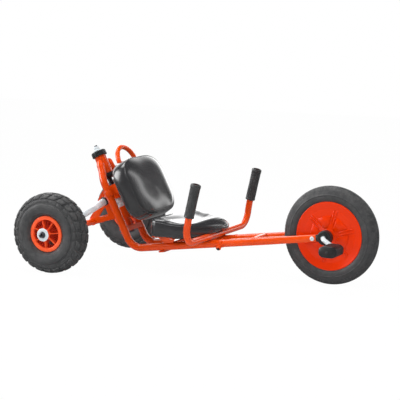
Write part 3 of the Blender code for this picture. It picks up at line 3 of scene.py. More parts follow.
import bmesh
import bpy
from mathutils import Matrix, Vector
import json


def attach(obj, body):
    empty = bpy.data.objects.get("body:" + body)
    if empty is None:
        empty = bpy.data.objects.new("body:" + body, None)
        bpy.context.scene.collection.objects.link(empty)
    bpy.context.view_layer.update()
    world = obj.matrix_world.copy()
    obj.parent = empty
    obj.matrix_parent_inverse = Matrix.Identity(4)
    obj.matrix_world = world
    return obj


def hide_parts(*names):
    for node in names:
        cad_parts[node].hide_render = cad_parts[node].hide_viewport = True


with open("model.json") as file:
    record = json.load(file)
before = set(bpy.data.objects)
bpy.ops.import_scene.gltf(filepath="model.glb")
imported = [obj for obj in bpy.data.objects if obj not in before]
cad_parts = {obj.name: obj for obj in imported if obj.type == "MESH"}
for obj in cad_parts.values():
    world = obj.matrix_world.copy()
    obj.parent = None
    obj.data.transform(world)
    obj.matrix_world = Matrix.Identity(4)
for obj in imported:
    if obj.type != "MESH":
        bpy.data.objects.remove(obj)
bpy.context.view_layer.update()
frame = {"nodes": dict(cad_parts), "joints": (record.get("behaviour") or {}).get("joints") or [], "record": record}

# Looks of a low pedal tricycle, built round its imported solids. Lengths are in millimetres.
MM = 0.001
NODES = frame["nodes"]
JOINTS = {joint["name"]: joint for joint in frame["joints"]}
BODY_OF = {node: body for body, members in frame["record"]["behaviour"]["bodies"].items() for node in members}
SIDES = ((1, "left"), (-1, "right"))

# Facets round each kind of piece
WHEEL_SIDES = 112
TUBE_SIDES = 32
ROUND_SIDES = 48
SMALL_SIDES = 24
SHARP_ANGLE = 38


# Places: local axes in millimetres, taken from the joints

def place_at(origin, x_axis=(1, 0, 0), z_axis=(0, 0, 1)):
    """A matrix from millimetres in local axes to metres in the part's axes."""
    x, z = Vector(x_axis).normalized(), Vector(z_axis).normalized()
    matrix = Matrix((x, z.cross(x), z)).transposed().to_4x4()
    matrix.translation = Vector(origin)
    return matrix @ Matrix.Scale(MM, 4)


def joint_at(name):
    """A joint's place on the ground's axes, in metres."""
    return Vector(JOINTS[name]["pos_m"])


AHEAD = Vector((1, 0, 0))
ACROSS = Vector((0, 1, 0))
UP = Vector((0, 0, 1))
STEER_AXIS = Vector(JOINTS["rear_steering"]["axis"])
RUN_AXIS = Vector(JOINTS["fork_length"]["axis"])
REAR_HUB = joint_at("rear_wheel_left_spin")
REAR_HUB.y = 0
GROUND = place_at((0, 0, 0))
STEER = place_at(joint_at("rear_steering"), ACROSS.cross(STEER_AXIS), STEER_AXIS)
RUN = place_at(joint_at("front_wheel_spin"), RUN_AXIS, RUN_AXIS.cross(ACROSS))
FRONT_WHEEL = place_at(joint_at("front_wheel_spin"))
REAR_AXLE = place_at(REAR_HUB)


def span(node, place=GROUND):
    """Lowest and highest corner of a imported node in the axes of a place."""
    back = place.inverted()
    points = [back @ vertex.co for vertex in NODES[node].data.vertices]
    low = Vector([min(p[i] for p in points) for i in range(3)])
    high = Vector([max(p[i] for p in points) for i in range(3)])
    return low, high


def half_size(node):
    """Half of a node's size along each ground axis."""
    low, high = span(node)
    return (high - low) / 2


# Outlines and paths

def circle(centre, u, v, radius, sides):
    """Evenly spaced points of a circle in the plane of u and v."""
    points = []
    for i in range(sides):
        angle = 2 * math.pi * i / sides
        points.append(centre + radius * (math.cos(angle) * u + math.sin(angle) * v))
    return points


def softened(points, setback, steps=3, closed=True):
    """An outline or path with its corners rounded off."""
    points = [Vector(p) for p in points]
    result = []
    for i, corner in enumerate(points):
        if not closed and i in (0, len(points) - 1):
            result.append(corner)
            continue
        before, after = points[i - 1], points[(i + 1) % len(points)]
        start = corner + (before - corner) * min(0.45, setback / max((before - corner).length, 1e-6))
        end = corner + (after - corner) * min(0.45, setback / max((after - corner).length, 1e-6))
        for k in range(steps + 1):
            t = k / steps
            result.append(start * (1 - t) ** 2 + corner * (2 * t * (1 - t)) + end * t ** 2)
    return result


def smoothed(points, steps):
    """A smooth open curve through points."""
    points = [Vector(p) for p in points]
    padded = [2 * points[0] - points[1]] + points + [2 * points[-1] - points[-2]]
    result = []
    for a, b, c, d in zip(padded, padded[1:], padded[2:], padded[3:]):
        for k in range(steps):
            t = k / steps
            result.append(0.5 * (2 * b + (c - a) * t + (2 * a - 5 * b + 4 * c - d) * t ** 2
                                 + (3 * b - a - 3 * c + d) * t ** 3))
    result.append(points[-1])
    return result


def arced(points, radius, steps):
    """An open path whose inner corners are arcs of one radius."""
    path = [points[0]]
    for before, corner, after in zip(points, points[1:], points[2:]):
        back, ahead = (before - corner).normalized(), (after - corner).normalized()
        half = back.angle(ahead) / 2
        middle = corner + (back + ahead).normalized() * (radius / math.sin(half))
        start = corner + back * (radius / math.tan(half)) - middle
        end = corner + ahead * (radius / math.tan(half)) - middle
        turn = start.angle(end)
        for k in range(steps + 1):
            a = math.sin(turn * (1 - k / steps)) / math.sin(turn)
            b = math.sin(turn * k / steps) / math.sin(turn)
            path.append(middle + start * a + end * b)
    path.append(points[-1])
    return path


def scaled(shares, radius, half):
    """Section points given as shares of a wheel's radius and of its half width."""
    return [(a * radius, b * half) for a, b in shares]


def mirrored(half, shared=0):
    """The other half of a section, back from its last point; shared points at its end are left out."""
    return [Vector((p[0], -p[1])) for p in reversed(half[:len(half) - shared])]


def running_lengths(points):
    """The length along a line up to each of its points."""
    lengths = [0.0]
    for a, b in zip(points, points[1:]):
        lengths.append(lengths[-1] + (b - a).length)
    return lengths


def evenly(dense, count):
    """Points spread evenly along a closed outline of many points."""
    dense = dense + dense[:1]
    lengths = running_lengths(dense)
    result = []
    j = 0
    for i in range(count):
        target = lengths[-1] * i / count
        while lengths[j + 1] < target:
            j += 1
        t = (target - lengths[j]) / max(lengths[j + 1] - lengths[j], 1e-9)
        result.append(dense[j].lerp(dense[j + 1], t))
    return result


def rounded_square(half_x, half_y, exponent):
    """Dense points round a superellipse."""
    dense = []
    for i in range(720):
        angle = math.radians(i / 2)
        c, s = math.cos(angle), math.sin(angle)
        dense.append(Vector((half_x * math.copysign(abs(c) ** (2 / exponent), c),
                             half_y * math.copysign(abs(s) ** (2 / exponent), s))))
    return dense


def height_on(points, x):
    """The height at x of a smooth curve through points of (x, height)."""
    i = 0
    while i < len(points) - 2 and x > points[i + 1][0]:
        i += 1
    (x0, z0), (x1, z1) = points[i], points[i + 1]
    slopes = [(b[1] - a[1]) / (b[0] - a[0]) for a, b in zip(points, points[1:])]

    def knot(a, b):
        return 0.0 if a * b <= 0 else 2 * a * b / (a + b)

    slope0 = knot(slopes[max(i - 1, 0)], slopes[i])
    slope1 = knot(slopes[i], slopes[min(i + 1, len(slopes) - 1)])
    width = x1 - x0
    k = min(max((x - x0) / width, 0), 1)
    return ((2 * k ** 3 - 3 * k ** 2 + 1) * z0 + (k ** 3 - 2 * k ** 2 + k) * width * slope0
            + (3 * k ** 2 - 2 * k ** 3) * z1 + (k ** 3 - k ** 2) * width * slope1)


# Solids

def join_loops(bm, loops):
    """Four-sided faces between each loop of points and the next."""
    for first, second in zip(loops, loops[1:]):
        for i in range(len(first)):
            j = (i + 1) % len(first)
            bm.faces.new((first[i], first[j], second[j], second[i]))


def loft(rings, bm=None, closed=False):
    """A solid through rings of equal count, capped at its ends or closed on itself."""
    bm = bm or bmesh.new()
    loops = [[bm.verts.new(point) for point in points] for points in rings]
    if closed:
        loops.append(loops[0])
    else:
        bm.faces.new(loops[0])
        bm.faces.new(loops[-1])
    join_loops(bm, loops)
    return bm


def cross_frames(path, side):
    """Two cross directions at each point of a path, carried along it without twist."""
    result = []
    for i, point in enumerate(path):
        tangent = Vector((0, 0, 0))
        if i > 0:
            tangent += (point - path[i - 1]).normalized()
        if i < len(path) - 1:
            tangent += (path[i + 1] - point).normalized()
        tangent.normalize()
        side = (side - side.dot(tangent) * tangent).normalized()
        result.append((point, side, tangent.cross(side)))
    return result


def tube(path, side, radius, bore=None, sides=TUBE_SIDES, lip=0.6):
    """A round tube along a path with rounded mouths, or a rod with rounded ends."""
    cross = cross_frames(path, side)
    ends = []
    for (point, u, v), neighbour in ((cross[0], path[1]), (cross[-1], path[-2])):
        inward = (neighbour - point).normalized() * lip
        ends.append([circle(point, u, v, radius - lip, sides), circle(point + inward, u, v, radius, sides)])
    rings = ends[0] + [circle(point, u, v, radius, sides) for point, u, v in cross[1:-1]] + ends[1][::-1]
    if bore is None:
        return loft(rings)
    rings += [circle(point, u, v, bore, sides) for point, u, v in reversed(cross)]
    return loft(rings, closed=True)


def axes_of(direction):
    """An axis and two directions across it."""
    axis = Vector(direction).normalized()
    guide = AHEAD if abs(axis.x) < 0.9 else UP
    u = (guide - guide.dot(axis) * axis).normalized()
    return axis, u, axis.cross(u)


def turned(profile, axis=UP, soft=0.0, steps=3, sides=ROUND_SIDES, bm=None, centre=(0, 0, 0)):
    """A solid of revolution from (radius, distance along the axis) points, with rounded corners."""
    axis, u, v = axes_of(axis)
    if soft:
        profile = softened(profile, soft, steps)
    return loft([circle(Vector(centre) + p[1] * axis, u, v, p[0], sides) for p in profile], bm, closed=True)


def collar(inner, outer, low, high, axis=UP, soft=1.0, sides=ROUND_SIDES, bm=None, centre=(0, 0, 0), steps=3):
    """A ring of rectangular section with rounded edges."""
    section = [(inner, low), (outer, low), (outer, high), (inner, high)]
    return turned(section, axis, soft, steps, sides, bm, centre)


def fin(bm, angle, rings):
    """A small solid on a wheel, from rings of (outward, sideways, along the axle) points at an angle."""
    out = Vector((math.cos(angle), 0, math.sin(angle)))
    sideways = Vector((-math.sin(angle), 0, math.cos(angle)))
    loft([[out * p[0] + sideways * p[1] + ACROSS * p[2] for p in ring] for ring in rings], bm)


def oval(s, y, tall, wide):
    """An upright oval across the rails' line."""
    points = []
    for i in range(TUBE_SIDES):
        angle = 2 * math.pi * i / TUBE_SIDES
        points.append(Vector((s, y + wide / 2 * math.cos(angle), tall / 2 * math.sin(angle))))
    return points


def weld_bead(bm, centre, axis, radius, size=1.6, sides=TUBE_SIDES):
    """A slightly lumpy ring of weld round a joint."""
    axis, u, v = axes_of(axis)
    rings = []
    for i in range(sides * 2):
        angle = math.pi * i / sides
        out = math.cos(angle) * u + math.sin(angle) * v
        thick = size * (1 + 0.16 * math.sin(11 * angle) + 0.08 * math.sin(23 * angle))
        rings.append(circle(Vector(centre) + out * radius, out, axis, thick, 6))
    loft(rings, bm, closed=True)


def new_object(name, data):
    """An object in the scene for some new data."""
    obj = bpy.data.objects.new(name, data)
    bpy.context.scene.collection.objects.link(obj)
    return obj


def piece(node, part, bm, place, finish, extra=False, sharp=SHARP_ANGLE, name=None):
    """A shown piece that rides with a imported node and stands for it, or is shown besides if it is extra."""
    name = name or node + "_" + part
    bmesh.ops.recalc_face_normals(bm, faces=bm.faces)
    mesh = bpy.data.meshes.new(name)
    bm.to_mesh(mesh)
    bm.free()
    mesh.transform(place)
    mesh.shade_smooth()
    mesh.set_sharp_from_angle(angle=math.radians(sharp))
    obj = new_object(name, mesh)
    mesh.materials.append(finish)
    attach(obj, BODY_OF[node])
    if not extra:
        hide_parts(node)
    return obj


def bolt_head(node, place, seat, axis, radius, height, finish):
    """A button head with a six-sided socket, on a thin washer, and its shank."""
    washer = 0.8
    top = washer + height
    floor = washer + height * 0.4
    head = collar(3.3, radius + 1.6, 0, washer, axis, 0.25, SMALL_SIDES, None, seat, 1)
    dome = [(0.1, washer), (radius, washer), (radius, washer + height * 0.35),
            (radius * 0.86, washer + height * 0.8), (radius * 0.55, top),
            (radius * 0.45, washer + height * 0.98), (radius * 0.42, floor), (0.1, floor)]
    turned(dome, axis, 0.3, 2, SMALL_SIDES, head, seat)
    collar(0.1, 3.0, -6, washer, axis, 0.2, SMALL_SIDES, head, seat, 1)
    piece(node, "head", head, place, finish)


# Shader nodes

def feed(tree, socket, value):
    """Links a socket to another one, or gives it a plain value."""
    if isinstance(value, bpy.types.NodeSocket):
        tree.links.new(value, socket)
    else:
        socket.default_value = value


def add(tree, kind, **inputs):
    """A shader node whose inputs are other sockets or plain values."""
    node = tree.nodes.new("ShaderNode" + kind)
    for label, value in inputs.items():
        feed(tree, node.inputs[label.replace("_", " ")], value)
    return node


def maths(tree, operation, *values):
    """One maths node on numbers or sockets."""
    node = tree.nodes.new("ShaderNodeMath")
    node.operation = operation
    for socket, value in zip(node.inputs, values):
        feed(tree, socket, value)
    return node.outputs["Value"]


def product(tree, first, *others):
    """All values multiplied together."""
    for other in others:
        first = maths(tree, "MULTIPLY", first, other)
    return first


def mixed(tree, share, first, second, blend="MIX", kind="RGBA"):
    """Two colours or values mixed by a share."""
    node = tree.nodes.new("ShaderNodeMix")
    node.data_type = kind
    node.blend_type = blend
    for label, value in (("Factor", share), ("A", first), ("B", second)):
        feed(tree, node.inputs[label], value)
    return node.outputs["Result"]


def either(tree, share, first, second):
    """Two shaders mixed by a share."""
    node = tree.nodes.new("ShaderNodeMixShader")
    for socket, value in zip(node.inputs, (share, first, second)):
        feed(tree, socket, value)
    return node.outputs["Shader"]


def spread(tree, value, low, high, floor=0.35, ceiling=0.65):
    """A value mapped from between floor and ceiling to between low and high."""
    node = add(tree, "MapRange", Value=value, From_Min=floor, From_Max=ceiling, To_Min=low, To_Max=high)
    return node.outputs["Result"]


def noise(tree, scale, detail=3.0, stretch=None):
    """A noise value on the object's own coordinates."""
    where = add(tree, "TexCoord").outputs["Object"]
    if stretch:
        where = add(tree, "Mapping", Vector=where, Scale=stretch).outputs["Vector"]
    return add(tree, "TexNoise", Vector=where, Scale=scale, Detail=detail).outputs["Fac"]


# Shader effects shared by the materials

def effect(name, output, kind, **inputs):
    """A node group with named sockets: its tree, what it is given, and the socket that it fills."""
    tree = bpy.data.node_groups.new(name, "ShaderNodeTree")
    for label, value in inputs.items():
        form = "NodeSocketColor" if isinstance(value, tuple) else "NodeSocketFloat"
        socket = tree.interface.new_socket(label.replace("_", " "), in_out="INPUT", socket_type=form)
        socket.default_value = value
    tree.interface.new_socket(output, in_out="OUTPUT", socket_type=kind)
    return tree, tree.nodes.new("NodeGroupInput").outputs, tree.nodes.new("NodeGroupOutput").inputs[output]


def make_mottle():
    """Two colours mixed by a slow noise, darkened here and there by a fine one."""
    tree, given, result = effect("mottle", "Colour", "NodeSocketColor", Colour=(0.5, 0.5, 0.5, 1),
                                 Other_Colour=(0.4, 0.4, 0.4, 1), Scale=12.0, Grain_Scale=300.0, Grain=0.1)
    share = spread(tree, noise(tree, given["Scale"]), 0.0, 1.0)
    plain = mixed(tree, share, given["Colour"], given["Other Colour"])
    grain = spread(tree, noise(tree, given["Grain Scale"], 2.0), 0.0, given["Grain"])
    feed(tree, result, mixed(tree, grain, plain, (0.45, 0.45, 0.45, 1), "MULTIPLY"))
    return tree


def make_sheen_change():
    """Roughness that wanders between two values."""
    tree, given, result = effect("sheen change", "Roughness", "NodeSocketFloat",
                                 Low=0.2, High=0.35, Scale=30.0)
    feed(tree, result, spread(tree, noise(tree, given["Scale"], 4.0), given["Low"], given["High"]))
    return tree


def make_surface_grain():
    """A bump from a fine noise over a slower one."""
    tree, given, result = effect("surface grain", "Normal", "NodeSocketVector", Fine_Scale=900.0,
                                 Slow_Scale=90.0, Fine_Share=0.5, Depth=0.0002)
    height = mixed(tree, given["Fine Share"], noise(tree, given["Slow Scale"], 2.0),
                   noise(tree, given["Fine Scale"], 2.0), kind="FLOAT")
    feed(tree, result, add(tree, "Bump", Distance=given["Depth"], Height=height).outputs["Normal"])
    return tree


def make_hide_grain():
    """The pebbled grain of vinyl cloth: cells with soft valleys."""
    tree, given, result = effect("hide grain", "Normal", "NodeSocketVector", Scale=700.0, Depth=0.0002)
    cells = add(tree, "TexVoronoi", Vector=add(tree, "TexCoord").outputs["Object"], Scale=given["Scale"])
    cells.feature = "SMOOTH_F1"
    bump = add(tree, "Bump", Distance=given["Depth"], Height=cells.outputs["Distance"])
    bump.invert = True
    feed(tree, result, bump.outputs["Normal"])
    return tree


def make_dust():
    """A mask that gathers on faces that look up, broken by noise."""
    tree, given, result = effect("dust", "Mask", "NodeSocketFloat", Amount=0.3, Scale=60.0)
    normal = add(tree, "NewGeometry").outputs["Normal"]
    facing = spread(tree, add(tree, "SeparateXYZ", Vector=normal).outputs["Z"], 0.15, 1.0, -0.4, 1.0)
    broken = spread(tree, noise(tree, given["Scale"], 5.0), 0.0, given["Amount"])
    feed(tree, result, product(tree, facing, broken))
    return tree


MOTTLE = make_mottle()
SHEEN_CHANGE = make_sheen_change()
SURFACE_GRAIN = make_surface_grain()
HIDE_GRAIN = make_hide_grain()
DUST = make_dust()


# Materials

def add_effect(tree, group, **values):
    """Places a shared effect in a material's tree with its own values."""
    node = tree.nodes.new("ShaderNodeGroup")
    node.node_tree = group
    for label, value in values.items():
        node.inputs[label.replace("_", " ")].default_value = value
    return node.outputs[0]


def skin(fine, share, depth, slow=200.0):
    """A bump of fine and slow grain: their scales, the share of the fine one, and its depth in metres."""
    return SURFACE_GRAIN, {"Fine_Scale": fine, "Slow_Scale": slow, "Fine_Share": share, "Depth": depth}


def surface(name, colour, other, roughness, bump, dust=None, colour_scale=9.0, grain=0.10, sheen_scale=25.0,
            **sockets):
    """A Principled material with mottled colour, wandering roughness, a bump and perhaps pale dust."""
    material = bpy.data.materials.new(name)
    material.use_nodes = True
    tree = material.node_tree
    shader = tree.nodes["Principled BSDF"]
    for label, value in sockets.items():
        shader.inputs[label.replace("_", " ")].default_value = value
    paint = add_effect(tree, MOTTLE, Colour=(*colour, 1), Other_Colour=(*other, 1),
                       Scale=colour_scale, Grain=grain)
    if dust:
        tint, amount, scale = dust
        paint = mixed(tree, add_effect(tree, DUST, Amount=amount, Scale=scale), paint, (*tint, 1))
    sheen = add_effect(tree, SHEEN_CHANGE, Low=roughness[0], High=roughness[1], Scale=sheen_scale)
    feed(tree, shader.inputs["Base Color"], paint)
    feed(tree, shader.inputs["Roughness"], sheen)
    if bump:
        group, values = bump
        feed(tree, shader.inputs["Normal"], add_effect(tree, group, **values))
    return material


def frame_paint():
    """Orange-red powder coat with a slight orange-peel skin."""
    return surface("frame_paint", (0.78, 0.072, 0.003), (0.71, 0.060, 0.003), (0.18, 0.24),
                   skin(700.0, 0.3, 0.00010, 220.0), grain=0.06,
                   Specular_IOR_Level=0.50, Coat_Weight=0.30, Coat_Roughness=0.08)


def disc_plastic():
    """Glossy red-orange moulding of the front wheel."""
    return surface("disc_plastic", (0.76, 0.034, 0.0003), (0.71, 0.029, 0.0003), (0.17, 0.22),
                   skin(1500.0, 0.25, 0.00012, 60.0), colour_scale=6.0, grain=0.05, Specular_IOR_Level=0.32)


def rim_plastic():
    """Satin plastic of the rear rims' rings and spokes, lighter than the web's darker copy of it, which is painted
    shade.
    """
    return surface("rim_plastic", (0.95, 0.118, 0.030), (0.90, 0.092, 0.022), (0.26, 0.38),
                   skin(1500.0, 0.4, 0.00010, 80.0), colour_scale=14.0, grain=0.06, Specular_IOR_Level=0.35)


def web_plastic_painted_shade():
    """The same plastic painted darker in the deep web: painted shade."""
    return surface("web_plastic_painted_shade", (0.70, 0.040, 0.008), (0.52, 0.026, 0.006), (0.34, 0.50),
                   skin(1200.0, 0.4, 0.00015, 150.0), colour_scale=40.0, grain=0.15, Specular_IOR_Level=0.35)


def tyre_rubber():
    """Dark grey rubber, matt and a little dusty."""
    return surface("tyre_rubber", (0.052, 0.053, 0.055), (0.040, 0.041, 0.043), (0.48, 0.66),
                   skin(1300.0, 0.5, 0.00025, 240.0), ((0.16, 0.155, 0.15), 0.35, 70.0),
                   colour_scale=22.0, grain=0.25, sheen_scale=45.0, Specular_IOR_Level=0.45)


def black_plastic():
    """Matt black moulding of caps, blocks and pads."""
    return surface("black_plastic", (0.018, 0.018, 0.019), (0.025, 0.025, 0.026), (0.32, 0.46),
                   skin(1600.0, 0.6, 0.00015), colour_scale=30.0, grain=0.15)


def black_rubber():
    """Rubber of the grips and valves."""
    return surface("black_rubber", (0.036, 0.037, 0.038), (0.046, 0.047, 0.048), (0.40, 0.58),
                   skin(1500.0, 0.5, 0.00025, 260.0), ((0.10, 0.10, 0.10), 0.2, 90.0),
                   colour_scale=30.0, grain=0.2, sheen_scale=60.0)


def black_vinyl():
    """Glossy black vinyl with a fine pebbled grain."""
    return surface("black_vinyl", (0.032, 0.032, 0.034), (0.036, 0.036, 0.038), (0.19, 0.22),
                   (HIDE_GRAIN, {"Scale": 620.0, "Depth": 0.000006}), colour_scale=16.0, grain=0.06,
                   sheen_scale=35.0, Specular_IOR_Level=0.75, Coat_Weight=0.4, Coat_Roughness=0.12)


def zinc_steel():
    """Bright zinc plate with soft cloudy patches."""
    return surface("zinc_steel", (0.78, 0.84, 0.87), (0.70, 0.76, 0.79), (0.20, 0.30),
                   skin(1500.0, 0.5, 0.00006, 300.0), colour_scale=35.0, grain=0.05,
                   sheen_scale=80.0, Metallic=0.15)


def dark_steel():
    """Dark plated steel of nuts, screws and the spindle."""
    return surface("dark_steel", (0.20, 0.22, 0.25), (0.13, 0.14, 0.16), (0.25, 0.42),
                   skin(1500.0, 0.5, 0.00006, 300.0), colour_scale=60.0, grain=0.2,
                   sheen_scale=90.0, Metallic=1.0)


def plywood():
    """Board stained almost black, with a long grain."""
    material = surface("plywood", (0.030, 0.024, 0.020), (0.022, 0.018, 0.015), (0.40, 0.55), None,
                       colour_scale=10.0, grain=0.25)
    tree = material.node_tree
    base = tree.nodes["Principled BSDF"].inputs["Base Color"]
    streaks = spread(tree, noise(tree, 40.0, 5.0, (1.0, 9.0, 1.0)), 0.0, 0.6)
    feed(tree, base, mixed(tree, streaks, base.links[0].from_socket, (0.050, 0.040, 0.032, 1)))
    return material


FRAME_PAINT = frame_paint()
DISC_PLASTIC = disc_plastic()
RIM_PLASTIC = rim_plastic()
# The web's copy of the rim plastic is darker to paint the shade in the deep web.
WEB_PLASTIC_PAINTED_SHADE = web_plastic_painted_shade()
TYRE_RUBBER = tyre_rubber()
BLACK_PLASTIC = black_plastic()
BLACK_RUBBER = black_rubber()
BLACK_VINYL = black_vinyl()
ZINC_STEEL = zinc_steel()
DARK_STEEL = dark_steel()
PLYWOOD = plywood()


# Sizes shared between pieces

BLADE_LOW, BLADE_HIGH = span("fork_blade_left")
TUBE_R = (BLADE_HIGH.y - BLADE_LOW.y) / 2
RAIL_Y = (BLADE_HIGH.y + BLADE_LOW.y) / 2
TUBE_WALL = 1.6
HEAD_R = span("head_tube")[1].y
AXLE_R = span("axle_tube")[1].x - REAR_HUB.x / MM
AXLE_BORE = 6.3
AXLE_LOCAL = STEER.inverted() @ REAR_HUB
SPINDLE_BORE = 8.3
GAP = 0.3
UPRIGHT_F = 6.0
HEAD_DROP = 6.0
MOUTH_SHIFT = 18.0
BLADE_END_TALL = 22.5
BLADE_END_WIDE = 14.0


# Rear wheels

REAR_R = half_size("rear_tyre_left").z
REAR_HALF = half_size("rear_tyre_left").y
REAR_RIM_R = 58.7
REAR_RIM_HALF = 32.1
REAR_SEAT_R = 50.0
REAR_BARREL_R = 45.5
REAR_WEB_HALF = 14.0
REAR_HUB_R = 15.5
REAR_HUB_HALF = half_size("rear_rim_left").y
SPOKES = 7
SPOKE_ANGLE = math.radians(110)
RIBS_PER_BAY = 4
VALVE_ANGLE = math.radians(-57.7)
KNOBS = 24
KNOB_HEIGHT = 3.6
# Rows of blocks: place and half length as shares of the crown line, then phase, half width and skew in
# shares of the pitch, and the share of the full height
KNOB_ROWS = ((0.400, 0.084, 0.75, 0.40, 0.10, 1.0), (0.600, 0.084, 0.0, 0.40, -0.10, 1.0),
             (0.225, 0.076, 0.625, 0.40, -0.10, 1.0), (0.775, 0.076, 0.125, 0.40, 0.10, 1.0),
             (0.085, 0.048, 0.5, 0.45, 0.0, 0.3), (0.915, 0.048, 0.0, 0.45, 0.0, 0.3))


def crown_line():
    """Half of the rear tyre's outer line, from the edge of the raised ring to the crown."""
    crown_r = REAR_R - KNOB_HEIGHT
    shoulder = ((0.765, 0.860), (0.805, 0.850), (0.860, 0.800), (0.915, 0.680), (0.948, 0.480))
    crown = [(crown_r - 0.6, 0.220 * REAR_HALF), (crown_r, 0.0)]
    return smoothed(scaled(shoulder, REAR_R, REAR_HALF) + crown, 5)


def rear_tyre_section():
    """The whole closed section of the rear tyre's casing."""
    bead = [(REAR_SEAT_R + 1, REAR_RIM_HALF - 7), (REAR_RIM_R - 2, REAR_RIM_HALF - 6.5),
            (REAR_RIM_R + 1.5, REAR_RIM_HALF - 2.5)]
    wall = ((0.515, 0.91), (0.590, 0.975), (0.660, 1.0), (0.715, 0.985), (0.742, 0.950), (0.750, 0.880))
    inside = ((0.62, -0.80), (0.86, -0.60), (0.90, 0.0), (0.86, 0.60), (0.62, 0.80))
    half = smoothed(bead + scaled(wall, REAR_R, REAR_HALF), 4) + crown_line()
    return half + mirrored(half, 1) + scaled(inside, REAR_R, REAR_HALF)


def on_crown(line, lengths, s, lift):
    """A (radius, across) point at length s along the crown line, lifted off it."""
    s = min(max(s, 0.0), lengths[-1] - 1e-6)
    i = max(k for k in range(len(lengths) - 1) if lengths[k] <= s)
    t = (s - lengths[i]) / (lengths[i + 1] - lengths[i])
    along = (line[i + 1] - line[i]).normalized()
    normal = Vector((-along.y, along.x))
    if normal.x < 0:
        normal = -normal
    return line[i].lerp(line[i + 1], t) + normal * lift


def tread(bm):
    """Pads with tapered sides and rounded tops: two rows on the crown, more over the shoulders."""
    half_line = crown_line()
    line = half_line + mirrored(half_line, 1)
    lengths = running_lengths(line)
    pitch = 2 * math.pi / KNOBS
    for place, half, phase, width, skew, high in KNOB_ROWS:
        half = half * lengths[-1]
        height = KNOB_HEIGHT * high
        rings = []
        for lift, inset in ((-1.2, -0.4), (0.7 * height, 0.6), (0.93 * height, 1.3), (height, 2.6)):
            share = 1 - inset / half
            ring = []
            for i, j in ((-1, -1), (0, -1), (1, -1), (1, 0), (1, 1), (0, 1), (-1, 1), (-1, 0)):
                p = on_crown(line, lengths, place * lengths[-1] + j * half * share, lift)
                turn = (i * width + j * skew) * pitch * share
                ring.append((p.x * math.cos(turn), p.x * math.sin(turn), p.y))
            rings.append(ring)
        for k in range(KNOBS):
            fin(bm, (k + phase) * pitch, rings)


def spoke(bm, angle):
    """One spoke: a thin upright wall with a rounded outer edge, wider at the hub."""
    rings = []
    for r, reach, thick in ((REAR_HUB_R - 3, REAR_RIM_HALF + 5, 1.9),
                            (REAR_HUB_R + 5, REAR_RIM_HALF + 2.6, 1.4),
                            (REAR_BARREL_R - 6, REAR_RIM_HALF - 2.0, 1.3),
                            (REAR_BARREL_R + 1, REAR_RIM_HALF - 2.4, 1.9)):
        half = [(r, -thick, reach - 1.6), (r, -0.55 * thick, reach - 0.3), (r, 0.55 * thick, reach - 0.3),
                (r, thick, reach - 1.6)]
        rings.append(half + [(r, x, -y) for r, x, y in reversed(half)])
    fin(bm, angle, rings)


def web_rib(bm, angle):
    """A low thin fin on the web, between two spokes."""
    half = 0.7
    rings = []
    for r, reach in ((REAR_HUB_R - 0.5, 28.0), (REAR_BARREL_R - 12, 24.0), (REAR_BARREL_R + 0.5, 27.0)):
        rings.append([(r, -half, reach), (r, half, reach), (r, half, -reach), (r, -half, -reach)])
    fin(bm, angle, rings)


def rim_ring():
    """The rim's flanges and barrel, the hub and the spokes."""
    face = REAR_RIM_HALF
    half = [(REAR_BARREL_R, 4), (REAR_BARREL_R, face - 3.0), (REAR_BARREL_R + 1.2, face - 0.6),
            (REAR_BARREL_R + 4.0, face), (REAR_RIM_R - 3.2, face - 0.4), (REAR_RIM_R - 0.6, face - 1.8),
            (REAR_RIM_R, face - 3.4), (REAR_RIM_R - 1.0, face - 4.8), (REAR_SEAT_R + 2, face - 5.6),
            (REAR_SEAT_R, face - 7)]
    half = softened(half, 0.8, 2, closed=False)
    ring = turned(half + mirrored(half), ACROSS, sides=WHEEL_SIDES)
    hub = [(6.5, -REAR_HUB_HALF), (REAR_HUB_R - 1.5, -REAR_HUB_HALF), (REAR_HUB_R, 0),
           (REAR_HUB_R - 1.5, REAR_HUB_HALF), (6.5, REAR_HUB_HALF)]
    turned(hub, ACROSS, 1.5, bm=ring)
    for k in range(SPOKES):
        spoke(ring, SPOKE_ANGLE + 2 * math.pi * k / SPOKES)
    return ring


def rim_web(valve):
    """The rim's inner disc with low ribs between the spokes and a boss round the valve."""
    web = collar(REAR_HUB_R - 1, REAR_BARREL_R + 1, -REAR_WEB_HALF, REAR_WEB_HALF, ACROSS, 0.4,
                 WHEEL_SIDES, steps=1)
    for k in range(SPOKES):
        for r in range(RIBS_PER_BAY):
            share = (k + (r + 1) / (RIBS_PER_BAY + 1)) / SPOKES
            web_rib(web, SPOKE_ANGLE + 2 * math.pi * share)
    return collar(5.0, 7.5, -17, 17, ACROSS, 0.8, SMALL_SIDES, web, valve)


def rear_wheel(side, name):
    """Knobby pneumatic tyre on a moulded rim with spokes on a ribbed web."""
    place = place_at(joint_at("rear_wheel_" + name + "_spin"))
    tyre = turned(rear_tyre_section(), ACROSS, sides=WHEEL_SIDES)
    tread(tyre)
    piece("rear_tyre_" + name, "casing", tyre, place, TYRE_RUBBER)
    valve = Vector((math.cos(VALVE_ANGLE), 0, math.sin(VALVE_ANGLE))) * (REAR_HUB_R + REAR_BARREL_R) / 2
    piece("rear_rim_" + name, "ring", rim_ring(), place, RIM_PLASTIC)
    # The web gets a darker copy of the rim plastic: painted shade in the deep web.
    piece("rear_rim_" + name, "web", rim_web(valve), place, WEB_PLASTIC_PAINTED_SHADE, extra=True)
    stub = [(0.1, -19), (4.2, -19), (4.6, -2), (8.0, 16), (8.0, 26.5), (6.4, 27.5), (5.8, 23), (2.8, 23),
            (2.6, 29.5), (0.1, 29.5)]
    stub = turned(stub, (0, side, 0), 0.8, sides=SMALL_SIDES, centre=valve)
    piece("rear_tyre_" + name, "", stub, place, BLACK_RUBBER, extra=True, name="valve_" + name)


def along_axle(node):
    """How far out a fitting on the axle starts and ends, and its radius."""
    low, high = span(node)
    inner, outer = sorted((abs(low.y), abs(high.y)))
    return inner, outer, (high.z - low.z) / 2


